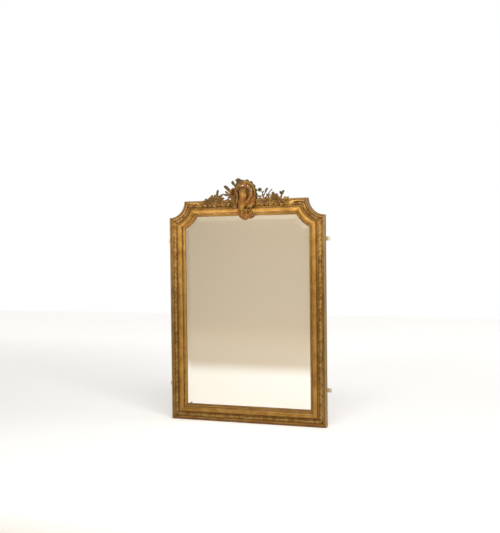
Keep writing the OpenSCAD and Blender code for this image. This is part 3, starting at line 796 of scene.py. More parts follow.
def tube(points: Sequence[Point], sides: int = 8, steps: int = 5) -> Solid:
    """A round stem through points (x, h, z, radius).

    Args:
        points: the points.
        sides: sides round the stem.
        steps: steps from one point to the next.

    Returns:
        A closed mesh.
    """
    p = smooth_line(points, steps)
    along = unit(np.gradient(p[:, :3], axis=0))
    across = unit(np.cross(along, np.array([0.0, 1.0, 0.0])))
    over = np.cross(across, along)
    a = np.linspace(0, 2 * np.pi, sides, endpoint=False)
    ring = across[:, None] * np.cos(a)[None, :, None] + over[:, None] * np.sin(a)[None, :, None]
    return skin(p[:, None, :3] + ring * p[:, None, 3:4])


def smooth_line(points: Sequence[Point], steps: int) -> Array:
    """A smooth line through points of any number of coordinates.

    Args:
        points: the points.
        steps: steps from one to the next.

    Returns:
        The line's points.
    """
    p = np.array(points, float)
    if len(p) < 3:
        return np.linspace(p[0], p[-1], steps + 1)
    q = np.vstack([2 * p[0] - p[1], p, 2 * p[-1] - p[-2]])
    out = []
    for i in range(len(p) - 1):
        a, b, c, d = q[i : i + 4]
        first, second, third = c - a, 2 * a - 5 * b + 4 * c - d, 3 * b - a - 3 * c + d
        for t in np.linspace(0, 1, steps, endpoint=False):
            out.append(0.5 * (2 * b + first * t + second * t * t + third * t**3))
    out.append(p[-1])
    return np.array(out)


def outwards(solid: Solid) -> Solid:
    """Turns a closed mesh's faces outwards, by the sign of its volume.

    Args:
        solid: a closed mesh.

    Returns:
        The mesh, faces outwards in (x, h, z) once h is turned to -y.
    """
    volume = 0.0
    for f in solid.faces:
        p = solid.points[f]
        for k in range(1, f.shape[1] - 1):
            volume += (p[:, 0] * np.cross(p[:, k], p[:, k + 1])).sum()
    if volume < 0:
        return Solid(solid.points, [f[:, ::-1] for f in solid.faces])
    return solid


def flower(centre: Point, r: float, petals: int = 5, turn: float = 20.0) -> Solid:
    """An open flower: outer and inner petals about a beaded boss.

    Args:
        centre: its middle (x, h, z).
        r: radius.
        petals: petals in a ring.
        turn: degrees that it is turned by.

    Returns:
        The mesh.
    """
    c = np.array(centre, float)
    parts = []
    for ring, (reach, lift) in enumerate([(1.0, 0.0), (0.62, 2.6)]):
        for i in range(petals):
            a = math.radians(turn + 360 * (i + 0.5 * ring) / petals)
            way = np.array([math.cos(a), 0.0, math.sin(a)])
            foot = c + way * 0.12 * r + [0, lift - 1, 0]
            tip = c + way * reach * r + [0, lift + 1.2, 0]
            curve = {"rise": 0.10 * r, "cup": 0.16 * r, "curl": 0.10 * r, "vein": 0.5, "thick": 2.4}
            petal = Leaf(foot, tip, reach * r * 1.02, 1, 0.12, form=LeafForm.PETAL, rows=9, cols=7, **curve)
            parts.append(petal.mesh())
    boss = c + [0, 4.4, 0]
    parts.append(ball(boss - [0, 1.5, 0], 0.27 * r, 10, 0.7))
    for i in range(6):
        a = math.radians(60 * i + turn)
        parts.append(ball(boss + [0.15 * r * math.cos(a), 0.6, 0.15 * r * math.sin(a)], 0.085 * r, 6))
    parts.append(ball(boss + [0, 1.2, 0], 0.09 * r, 6))
    return join_all(outwards(s) for s in parts)


def to_frame(solid: Solid, sizes: FrameSizes = SIZES) -> Solid:
    """Turns ornament points (x, h over the ground, z over the top edge) into frame points.

    Args:
        solid: a mesh in ornament points, faces outwards there.
        sizes: the frame's sizes.

    Returns:
        The mesh in frame points.
    """
    p = solid.points
    q = np.stack([p[:, 0], -sizes.ground_h - p[:, 1], sizes.height + p[:, 2]], -1)
    return Solid(q, [f[:, ::-1] for f in solid.faces])


def from_frame(points: Array) -> tuple[Array, Array, Array]:
    """Ornament x, h and z of points in the frame's space, both in millimetres."""
    return points[:, 0], -points[:, 1] - SIZES.ground_h, points[:, 2] - SIZES.height


# ---- carving as a solid field ----


@dataclass
class Carving:
    """A block that is carved by adding rolls and cutting hollows, then turned to a mesh.

    Points are (x, h over the ground, z over the frame's top edge) in millimetres.
    """

    low: Point
    high: Point
    step: float = 1.25
    sizes: FrameSizes = SIZES

    def __post_init__(self) -> None:
        """Lays out the block's cells."""
        ends = zip(self.low, self.high)
        self.axes = [np.arange(a, b + self.step, self.step, dtype=np.float32) for a, b in ends]
        self.far = 50.0
        self.field = np.full([len(a) for a in self.axes], self.far, np.float32)

    def cells(self, low: Array, high: Array) -> tuple[slice, ...]:
        """Cells inside a box.

        Args:
            low: its lowest corner.
            high: its highest corner.

        Returns:
            Three slices.
        """
        spans = []
        for axis, a, b in zip(self.axes, low, high):
            first = int(np.clip(np.floor((a - axis[0]) / self.step), 0, len(axis)))
            last = int(np.clip(np.ceil((b - axis[0]) / self.step) + 1, 0, len(axis)))
            spans.append(slice(first, last))
        return tuple(spans)

    def spread(self, box: tuple[slice, ...]) -> tuple[Array, Array, Array]:
        """Open grids of x, h and z over some cells, which broadcast together."""
        x, h, z = (axis[b] for axis, b in zip(self.axes, box))
        return x[:, None, None], h[None, :, None], z[None, None, :]

    def blend(self, box: tuple[slice, ...], shape: Array, soft: float, cut: bool) -> None:
        """Adds or cuts a shape, with a soft fillet where they meet.

        Args:
            box: the cells that the shape covers.
            shape: signed distances there.
            soft: size of the fillet.
            cut: whether the shape is taken away.
        """
        sign = -1.0 if cut else 1.0
        here = sign * self.field[box]
        mix = share(0.5 + 0.5 * (here - shape) / soft)
        self.field[box] = sign * (here + (shape - here) * mix - soft * mix * (1 - mix))

    def roll(
        self, points: Sequence[Point], soft: float = 2.0, cut: bool = False, flat: float = 1.0, steps: int = 6
    ) -> None:
        """Adds or cuts a roll through points (x, h, z, radius).

        Args:
            points: the points.
            soft: fillet where it meets the block.
            cut: whether it is a groove.
            flat: share of the radius that its height has.
            steps: steps from one point to the next.
        """
        line = smooth_line(points, steps)
        pad = soft + 3 * self.step
        reach = line[:, 3].max() + pad
        box = self.cells(line[:, :3].min(0) - reach, line[:, :3].max(0) + reach)
        shape = np.full(self.field[box].shape, self.far, np.float32)
        for a, b in zip(line[:-1], line[1:]):
            r = max(a[3], b[3]) + pad
            part = self.cells(np.minimum(a[:3], b[:3]) - r, np.maximum(a[:3], b[:3]) + r)
            inner = tuple(slice(p.start - q.start, p.stop - q.start) for p, q in zip(part, box))
            x, h, z = self.spread(part)
            d = b[:3] - a[:3]
            t = share(((x - a[0]) * d[0] + (h - a[1]) * d[1] + (z - a[2]) * d[2]) / max(float(d @ d), 1e-6))
            gx, gh, gz = (p - q - t * e for p, q, e in zip((x, h, z), a, d))
            dist = np.sqrt(gx**2 + (gh / flat) ** 2 + gz**2) - (a[3] + t * (b[3] - a[3]))
            shape[inner] = np.minimum(shape[inner], dist)
        self.blend(box, shape, soft, cut)

    def scored(self, points: Sequence[Point], lean: float, width: float = 1.3, flat: float = 1.0) -> None:
        """Cuts a fine line along a roll's face.

        Args:
            points: the roll's own points.
            lean: degrees from the roll's crown, positive to its right.
            width: radius of the cut.
            flat: the roll's flatness.
        """
        line = smooth_line(points, 5)
        way = unit(np.gradient(line[:, [0, 2]], axis=0))
        across = np.stack([way[:, 1], -way[:, 0]], -1)
        s, c = math.sin(math.radians(lean)), math.cos(math.radians(lean))
        r = line[:, 3]
        fade = np.sin(np.pi * np.linspace(0.05, 0.95, len(line))) ** 0.5
        x, z = (line[:, 2 * k] + across[:, k] * r * s for k in (0, 1))
        self.roll(np.stack([x, line[:, 1] + r * c * flat, z, width * fade], -1), soft=0.8, cut=True, steps=1)

    def column(self, x: float, z: float, rx: float, rz: float, soft: float = 3.0) -> None:
        """Pierces an oval hole square through the block.

        Args:
            x: its middle across.
            z: its middle up.
            rx: half its width.
            rz: half its height.
            soft: rounding of its lip.
        """
        reach = max(rx, rz) + soft + 3 * self.step
        box = self.cells([x - reach, self.low[1], z - reach], [x + reach, self.high[1], z + reach])
        gx, _, gz = self.spread(box)
        dist = (np.sqrt(((gx - x) / rx) ** 2 + ((gz - z) / rz) ** 2) - 1) * min(rx, rz)
        self.blend(box, np.broadcast_to(dist, self.field[box].shape), soft, cut=True)

    def seated(self, back: float = 12.0, sink: float = 1.5) -> None:
        """Cuts the block off behind the frame's top edge and where the moulding lies.

        Args:
            back: depth behind the ground that the block reaches above the frame.
            sink: how far it is let into the moulding.
        """
        face, z = moulding_section(self.sizes)[1:-1], self.axes[2]
        # A height for each distance in, from the highest point of the section there.
        heights = np.array([self.top_of(face, -zz) for zz in z]) - self.sizes.ground_h - sink
        floor = np.where(z > 0, -back, heights)
        _, h, _ = self.spread((slice(None),) * 3)
        self.field = np.maximum(self.field, floor[None, None, :] - h)

    @staticmethod
    def top_of(face: Array, w: float) -> float:
        """Highest point of an open section at a distance in.

        Args:
            face: the section's points.
            w: the distance in.

        Returns:
            The height, or the last point's beyond the section.
        """
        best = -1.0
        for (w0, h0), (w1, h1) in zip(face[:-1], face[1:]):
            lo, hi = min(w0, w1), max(w0, w1)
            if lo <= w <= hi and hi > lo:
                best = max(best, h0 + (h1 - h0) * (w - w0) / (w1 - w0))
        return best if best > 0 else float(face[-1, 1])

    def mesh(self) -> Solid:
        """Meshes the block's surface.

        Returns:
            A closed mesh in ornament points, faces outwards.
        """
        limit = 3 * self.step
        data = np.clip(self.field, -limit, limit).astype(np.float32)
        for axis in range(3):
            edge: list[Any] = [slice(None)] * 3
            for end in (0, -1):
                edge[axis] = end
                data[tuple(edge)] = limit
        grid = openvdb.FloatGrid(background=limit)
        grid.copyFromArray(data)
        points, quads = grid.convertToQuads(isovalue=0.0)
        p = np.asarray(points, float) * self.step + np.array([a[0] for a in self.axes], float)
        return outwards(Solid(p, [np.asarray(quads, np.int64)]))


def curl_points(
    centre: Point, r: float, start: float, turn: float, thick: float, lift: float
) -> list[Point]:
    """Points of a roll that winds inwards.

    Args:
        centre: middle of the curl (x, h, z).
        r: outer radius.
        start: first angle in degrees.
        turn: degrees that it winds.
        thick: radius of the roll at its start.
        lift: how far its eye stands forward.

    Returns:
        Points (x, h, z, radius).
    """
    out = []
    for u in np.linspace(0, 1, 17):
        q, a = r * (1 - 0.78 * u), math.radians(start + turn * u)
        x, z = centre[0] + q * math.cos(a), centre[2] + q * math.sin(a)
        out.append((x, centre[1] + lift * u, z, thick * (1 - 0.4 * u)))
    return out


# ---- the crest ----


class CrestWork:
    """A piece of the crest that is carved or pressed, then gilded."""

    def carve(self) -> Solid:
        """Makes the piece, as a mesh in ornament points."""
        raise NotImplementedError

    def rubbed(self, points: Array) -> Array:
        """How far the leaf is rubbed through to its bole at points of the frame, or dull, below zero."""
        return np.zeros(len(points))


@dataclass
class Cartouche(CrestWork):
    """The lobed shell in the middle: a fluted dish with three eyes, and two long lobes in front."""

    fan: Point = (4, -30)
    flutes: int = 24
    eyes: tuple[Point, ...] = ((-13, 91, 9.5, 6.6), (19, 84, 4.6, 5.0), (41, 63, 4.6, 4.8))
    hull: tuple[Point, ...] = (
        (-44, 40), (-38, 84), (-12, 98), (20, 98), (48, 76), (62, 30), (52, -8), (-40, -8),
    )
    left_lobe: tuple[Point, ...] = (
        (-12, 2, 44, 27), (-9, 5, 22, 25), (-10, 10, -2, 20), (-12, 16, -26, 15), (-14, 21, -52, 12),
    )
    right_lobe: tuple[Point, ...] = (
        (43, 1, 36, 18), (43, 4, 18, 18), (36, 9, -3, 14), (21, 15, -22, 11), (0, 21, -42, 9),
    )
    ridge: tuple[Point, ...] = (
        (50, 6, 24, 4), (40, 10, 10, 6), (28, 13, -3, 7.5), (15, 15, -14, 8.5), (2, 18, -27, 8.5),
        (-10, 22, -42, 7.5), (-18, 26, -58, 5),
    )
    folds: tuple[tuple[Point, ...], ...] = (
        ((72, 12, 10, 5), (60, 22, 2, 6), (46, 22, -8, 4)),
        ((74, 12, -8, 5), (62, 25, -14, 7), (46, 26, -22, 4)),
        ((68, 12, -28, 5), (58, 24, -32, 7), (44, 26, -36, 4)),
    )

    def carve(self) -> Solid:
        """Carves the cartouche.

        Returns:
            Its mesh in ornament points.
        """
        block = Carving((-64, -15, -78), (88, 48, 118))
        self.dish(block)
        # The web swells at its left, and each eye has a low lip.
        block.roll([(-46, 0, 62, 10), (-42, 1, 82, 12), (-33, 1, 98, 10)], soft=10)
        block.roll([(-37, 0, 44, 8), (-36, 3, 12, 10), (-34, 7, -14, 11)], soft=5, flat=0.8)
        turns = [math.tau * i / 12 for i in range(13)]
        for x, z, rx, rz in self.eyes:
            lip = [(x + (rx + 4) * math.cos(a), 3, z + (rz + 4) * math.sin(a), 3.2) for a in turns]
            block.roll(lip, soft=6, steps=2)
        block.roll(self.left_lobe, soft=8, flat=0.66)
        block.roll(self.right_lobe, soft=8, flat=0.68)
        block.roll(
            [(20, 16, 62, 3.2), (21, 14, 42, 4.8), (20, 15, 16, 4.8), (10, 22, -6, 3.2)], soft=4, cut=True
        )
        block.roll(
            [(62, 4, 14, 12), (60, 8, -6, 17), (52, 12, -24, 18), (38, 15, -42, 15)], soft=4, flat=0.9
        )
        for fold in self.folds:
            block.roll(fold, soft=6)
        # A lip sweeps from the right lobe down across the waist into the ribs.
        block.roll(self.ridge, soft=9)
        block.roll([(-29, 5, -8, 12), (-27, 11, -34, 14), (-25, 16, -60, 12)], soft=8, flat=0.85)
        block.roll([(-35, 14, -12, 1.4), (-37, 21, -38, 2.0), (-34, 25, -64, 1.4)], soft=2, cut=True)
        for lean in (-48, -20, 8, 36):
            block.scored(self.left_lobe, lean, 1.4, 0.66)
        for lean in (-30, 0, 30):
            block.scored(self.right_lobe, lean, 1.2, 0.68)
        block.scored(self.ridge, -12, 1.2)
        for x, z, rx, rz in self.eyes:
            block.column(x, z, rx, rz)
        block.seated()
        return block.mesh()

    def rubbed(self, points: Array) -> Array:
        """How far the leaf is rubbed through to its bole, mostly on the web between the eyes.

        Args:
            points: points in millimetres, in the frame's space.

        Returns:
            Shares from 0 to 1.
        """
        x, _, z = from_frame(points)
        web = share((z - 66) / 10) * share((x + 30) / 14)
        mass = share(1.2 - np.hypot(x - 58, z + 16) / 34)
        waist = share(1.3 - np.hypot(x + 8, z - 4) / 40) * 0.65
        fold = 0.85 * share((-21 - x) / 7) * share((-12 - z) / 10)
        heads = np.clip((z - 12) / 34, 0, 0.5) * (1 - web)
        return np.maximum.reduce([web, mass * 0.85, waist, fold]) - heads

    def dish(self, block: Carving) -> None:
        """Lays the fluted dish that the lobes stand in.

        Args:
            block: the carving.
        """
        x, h, z = block.spread((slice(None),) * 3)
        pts = np.array(self.hull, float)
        middle = pts.mean(0)
        flat = np.full((x.shape[0], 1, z.shape[2]), -1e3, np.float32)
        for a, b in zip(pts, np.roll(pts, -1, axis=0)):
            n = np.array([b[1] - a[1], a[0] - b[0]])
            n /= np.linalg.norm(n)
            if n @ (middle - a) > 0:
                n = -n
            flat = np.maximum(flat, (x - a[0]) * n[0] + (z - a[1]) * n[1])
        flat = flat - 14
        # Flutes fan out from a point at the dish's foot, and fade towards it.
        fan_x, fan_z = x - self.fan[0], z - self.fan[1]
        flute = 2.4 * np.cos(self.flutes * np.arctan2(fan_z, fan_x))
        flute = flute * share((np.hypot(fan_x, fan_z) - 70) / 50)
        top = 2.5 + 8.0 * share(1 + flat / 36) ** 2 + 1.3 * flute
        block.field = np.maximum(np.maximum(flat, (h - top) * 0.8), -(h + 12)).astype(np.float32)


@dataclass
class Rim(CrestWork):
    """The rolled rim of the shell, with a frill of scallops outside it and a curl at its foot."""

    line: tuple[Point, ...] = (
        (-45, 7, 58, 4), (-52, 8, 76, 6), (-48, 9, 96, 7), (-28, 10, 108, 8), (0, 11, 111, 8),
        (28, 11, 106, 8), (50, 11, 91, 8), (63, 11, 70, 8), (69, 11, 46, 8), (70, 12, 20, 8),
        (69, 14, -4, 8), (62, 18, -24, 8), (52, 21, -40, 7), (44, 24, -48, 6),
    )
    tips: tuple[Point, ...] = (
        (-45, 112), (-15, 123), (19, 124), (49, 111), (69, 87), (81, 58), (85, 28), (83, -2),
    )
    middle: Point = (6, 40)

    def rubbed(self, points: Array) -> Array:
        """Olive bloom on the scallops outside the roll.

        Args:
            points: points in millimetres, in the frame's space.

        Returns:
            Values below zero where the leaf is dull.
        """
        x, _, z = from_frame(points)
        outer = share((np.hypot((x - 10) / 0.74, z - 26) - 85) / 6)
        return -0.9 * outer * (z > -30)

    def carve(self) -> Solid:
        """Carves the rim.

        Returns:
            Its mesh in ornament points.
        """
        block = Carving((-68, -15, -78), (90, 46, 130))
        block.roll(self.line, soft=1.5, flat=0.9)
        mid_x, mid_z = self.middle
        line, near = self.line[2:-2], 0.13
        inner = [(x + near * (mid_x - x), h - 1.5, z + near * (mid_z - z), 3) for x, h, z, _ in line]
        block.roll(inner, soft=0.8)
        block.scored(self.line, -34, 1.5, 0.9)
        block.scored(self.line, 40, 1.2, 0.9)
        for x, z in self.tips:
            reach = math.dist(self.middle, (x, z))
            to_x, to_z = (mid_x - x) / reach, (mid_z - z) / reach
            # Each scallop is a low cushion, with five flutes that fan out to its edge.
            foot = (x + 24 * to_x, 4, z + 24 * to_z, 11)
            block.roll([foot, (x + 14.5 * to_x, 3, z + 14.5 * to_z, 14.5)], soft=1.2, flat=0.5)
            for aside in (-0.8, -0.4, 0, 0.4, 0.8):
                root = (x + 20 * to_x + 3 * aside * to_z, 11, z + 20 * to_z - 3 * aside * to_x, 1.2)
                out_x, out_z = x + 3 * to_x + 10 * aside * to_z, z + 3 * to_z - 10 * aside * to_x
                block.roll([root, (out_x, 8.4 - 3 * abs(aside), out_z, 1.5)], soft=1, cut=True)
        block.roll([(30, 8, -50, 24), (33, 12, -58, 22)], soft=4, flat=0.7)
        block.roll(curl_points((33, 25, -56), 17, 110, -430, 5.2, lift=5), soft=1.0, steps=3)
        block.roll([(33, 16, -56, 3.6), (33, 46, -56, 4.6)], soft=1.5, cut=True)
        block.seated()
        return block.mesh()


@dataclass
class LeftScroll(CrestWork):
    """The C-scroll on the shell's left, and the plain leaf that fills its back."""

    line: tuple[Point, ...] = (
        (-66, 11, 70, 4), (-55, 16, 58, 4.6), (-46, 19, 38, 5), (-42, 20, 16, 5), (-44, 21, -8, 5),
        (-49, 22, -28, 4),
    )

    def carve(self) -> Solid:
        """Carves the scroll.

        Returns:
            Its mesh in ornament points.
        """
        block = Carving((-92, -15, -50), (-22, 36, 84))
        leaf = ((-58, 3, 60, 10), (-52, 4, 40, 12), (-50, 5, 16, 13), (-50, 7, -8, 13), (-52, 8, -26, 11))
        block.roll(leaf, soft=2)
        block.roll(
            [(-60, 17, 50, 3), (-54, 19, 24, 4), (-53, 20, -4, 4), (-55, 20, -24, 3)], soft=3, cut=True
        )
        block.roll(self.line, soft=2.5)
        block.scored(self.line, 24, 1.0)
        block.roll([(-64, 12, 68, 5.2), (-70, 12, 70, 5.4)], soft=1.2)
        block.seated()
        return block.mesh()


@dataclass
class Pendant(CrestWork):
    """The ribbed shell that hangs over the glass, with the scroll at its right."""

    ribs: int = 5
    pitch: float = 9.8

    def carve(self) -> Solid:
        """Carves the pendant.

        Returns:
            Its mesh in ornament points.
        """
        block = Carving((-52, -4, -132), (72, 46, -48))
        block.roll(
            [(-8, 19, -64, 14), (-6, 19, -80, 16), (-3, 17, -98, 13), (-4, 15, -110, 9)], soft=3, flat=0.9
        )
        block.roll([(-20, 16, -70, 11), (-19, 16, -86, 10)], soft=3)
        block.roll([(12, 17, -88, 12), (20, 17, -95, 10)], soft=3)
        for i in range(self.ribs):
            z = -58 - self.pitch * i
            rib = [
                (-29 + 2 * i, 24, z + 1, 3.2), (-12 + i, 34 - 0.6 * i, z - 3, 4.8),
                (6, 28 - 0.5 * i, z - 7, 3.2),
            ]
            gap = [
                (-28 + 2 * i, 27, z - 4, 1.8), (-11 + i, 34.5 - 0.6 * i, z - 8, 2.8), (7, 30, z - 12, 2.0),
            ]
            block.roll(rib, soft=0.8)
            block.roll(gap, soft=0.8, cut=True)
        block.roll([(-11, 23, -104, 7), (-8, 21, -114, 7), (-7, 17, -121, 4.5)], soft=2)
        edge = ((-34, 13, -56, 11), (-34, 14, -76, 10.5), (-26, 16, -97, 9), (-14, 17, -111, 8))
        block.roll(edge, soft=3, flat=0.9)
        block.scored(edge, 10, 1.3)
        block.scored(edge, -35, 1.3)
        scroll = (
            (2, 19, -97, 10), (16, 20, -100, 12), (34, 19, -96, 11.5), (46, 18, -84, 9.5), (48, 18, -70, 7),
        )
        block.roll(scroll, soft=4)
        for lean in (-52, -26, 0, 26, 50):
            block.scored(scroll, lean, 1.4)
        block.seated()
        return block.mesh()

    def rubbed(self, points: Array) -> Array:
        """How far the leaf is rubbed through to its bole, more at the foot, the scroll and the left crescent.

        Args:
            points: points in millimetres, in the frame's space.

        Returns:
            Shares from 0 to 1.
        """
        x, _, z = from_frame(points)
        foot = 0.5 * share(np.maximum((-84 - z) / 18, (x - 10) / 22))
        crescent = 0.7 * share((-21 - x + 0.9 * np.clip(-86 - z, 0, None)) / 6)
        return np.maximum(foot, crescent)


@dataclass
class Acanthus(CrestWork):
    """The leaves that sweep up and out from the shell's left side."""

    body: tuple[Point, ...] = (
        (-66, 2, 64, 9), (-72, 2, 48, 17), (-72, 2, 28, 17), (-69, 3, 6, 17), (-65, 5, -14, 16),
        (-60, 8, -36, 13), (-56, 10, -54, 10),
    )
    lip: tuple[Point, ...] = (
        (-82, 9, 16, 3.0), (-89, 11, 34, 4.2), (-88, 12, 50, 4.6), (-80, 13, 64, 4.4), (-68, 13, 71, 4.0),
    )
    bud: tuple[Point, ...] = (
        (-58, 8, 66, 4.5), (-58, 8, 80, 4), (-63, 9, 90, 6), (-69, 9, 101, 8.4), (-74, 9, 110, 7.6),
        (-78, 9, 116, 4),
    )

    def carve(self) -> Solid:
        """Builds the leaves over a carved body.

        Returns:
            The mesh in ornament points.
        """
        block = Carving((-104, -15, -72), (-34, 38, 84))
        block.roll(self.body, soft=2)
        # A deep cup, with its lip turned over, opens behind the scroll.
        block.roll(
            [(-66, 20, 58, 7), (-72, 20, 44, 11), (-70, 21, 26, 9), (-64, 21, 14, 4)], soft=3, cut=True
        )
        block.roll(self.lip, soft=1.5)
        for x, z in ((-84, 34), (-84, 50), (-76, 62), (-66, 66)):
            flute = [(-66, 12, 22, 1.8), ((x - 70) / 2, 10, (z + 30) / 2, 2.6), (x, 13, z, 2.0)]
            block.roll(flute, soft=1.5, cut=True)
        block.seated()
        blade = partial(Leaf, lobes=2, cut=0.16, thick=4, form=LeafForm.BLADE)
        plain = partial(Leaf, lobes=3, cut=0.3, thick=4)
        lobed = partial(Leaf, lobes=4, cut=0.34, bend=3, vein=1.5, thick=4, rows=30, cols=13)
        leaves = [
            blade((-80, 9, 34), (-133, 7, 90), 25, rise=7, bend=-6, curl=3, vein=1.1, rows=24),
            plain((-82, 7, 32), (-146, 7, 40), 22, rise=6, bend=5, curl=3, vein=1.1, rows=26),
            blade((-94, 7, 34), (-126, 7, 56), 14, curl=2, vein=1, rows=16, cols=9),
            lobed((-54, 17, 22), (-110, 8, 16), 30, rise=10, curl=4),
            lobed((-52, 18, 2), (-106, 8, -7), 30, rise=10, curl=4),
            lobed((-50, 19, -16), (-93, 8, -30), 28, rise=9, curl=3, vein=1.4),
            plain((-46, 20, -34), (-82, 9, -53), 25, rise=8, bend=3, curl=2, vein=1.2, rows=24),
        ]
        bract = blade((-62, 12, 86), (-82, 10, 112), 12, cut=0.15, rise=4, curl=1, thick=3.5, rows=14, cols=7)
        parts = [*(leaf.mesh() for leaf in leaves), tube(self.bud), bract.mesh()]
        return join_all([block.mesh(), *map(outwards, parts)])

    def rubbed(self, points: Array) -> Array:
        """Bole colour, mostly in the deep cup, where it is painted shade as well as leaf rubbed through.

        Args:
            points: points in millimetres, in the frame's space.

        Returns:
            Shares from 0 to 1.
        """
        x, _, z = from_frame(points)
        # The cup's dark bole colour is painted shade.
        cup = share(1.8 * (1 - np.hypot((x + 68) / 0.8, z - 44) / 36))
        tips = np.clip((np.hypot(x + 56, z - 26) - 40) / 22, 0, 0.9) * share((z - 16) / 12)
        low = np.clip((20 - z) / 16, 0, 0.35) * (z > -30)
        return cup - np.maximum(tips, low) * (cup < 0.5)


@dataclass
class Finial(CrestWork):
    """The tuft of leaves on the rim's upper left."""

    def carve(self) -> Solid:
        """Builds the tuft.

        Returns:
            The mesh in ornament points.
        """
        stem = [(-46, 7, 100, 6), (-44, 8, 112, 6), (-40, 8, 122, 6.5)]
        tongue = partial(Leaf, lobes=2, cut=0.15, rise=6, curl=4, thick=4, form=LeafForm.BLADE)
        small = partial(tongue, rows=18, cols=9)
        leaves = [
            small((-44, 9, 110), (-52, 8, 128), 15),
            tongue((-43, 10, 110), (-38, 10, 133), 20, rise=7, bend=-3),
            small((-40, 9, 112), (-24, 8, 129), 18),
            small((-38, 9, 110), (-13, 8, 120), 15, curl=3),
        ]
        parts = [tube(stem), ball((-40, 9, 123), 10.5, 14, 0.8), *(leaf.mesh() for leaf in leaves)]
        return join_all(map(outwards, parts))

    def rubbed(self, points: Array) -> Array:
        """Olive bloom over the whole tuft, below zero where the leaf is dull."""
        return np.clip((from_frame(points)[2] - 96) / -16, -0.85, 0)


class Hand(Enum):
    """Which spray of the crest."""

    LEFT = "left"
    RIGHT = "right"


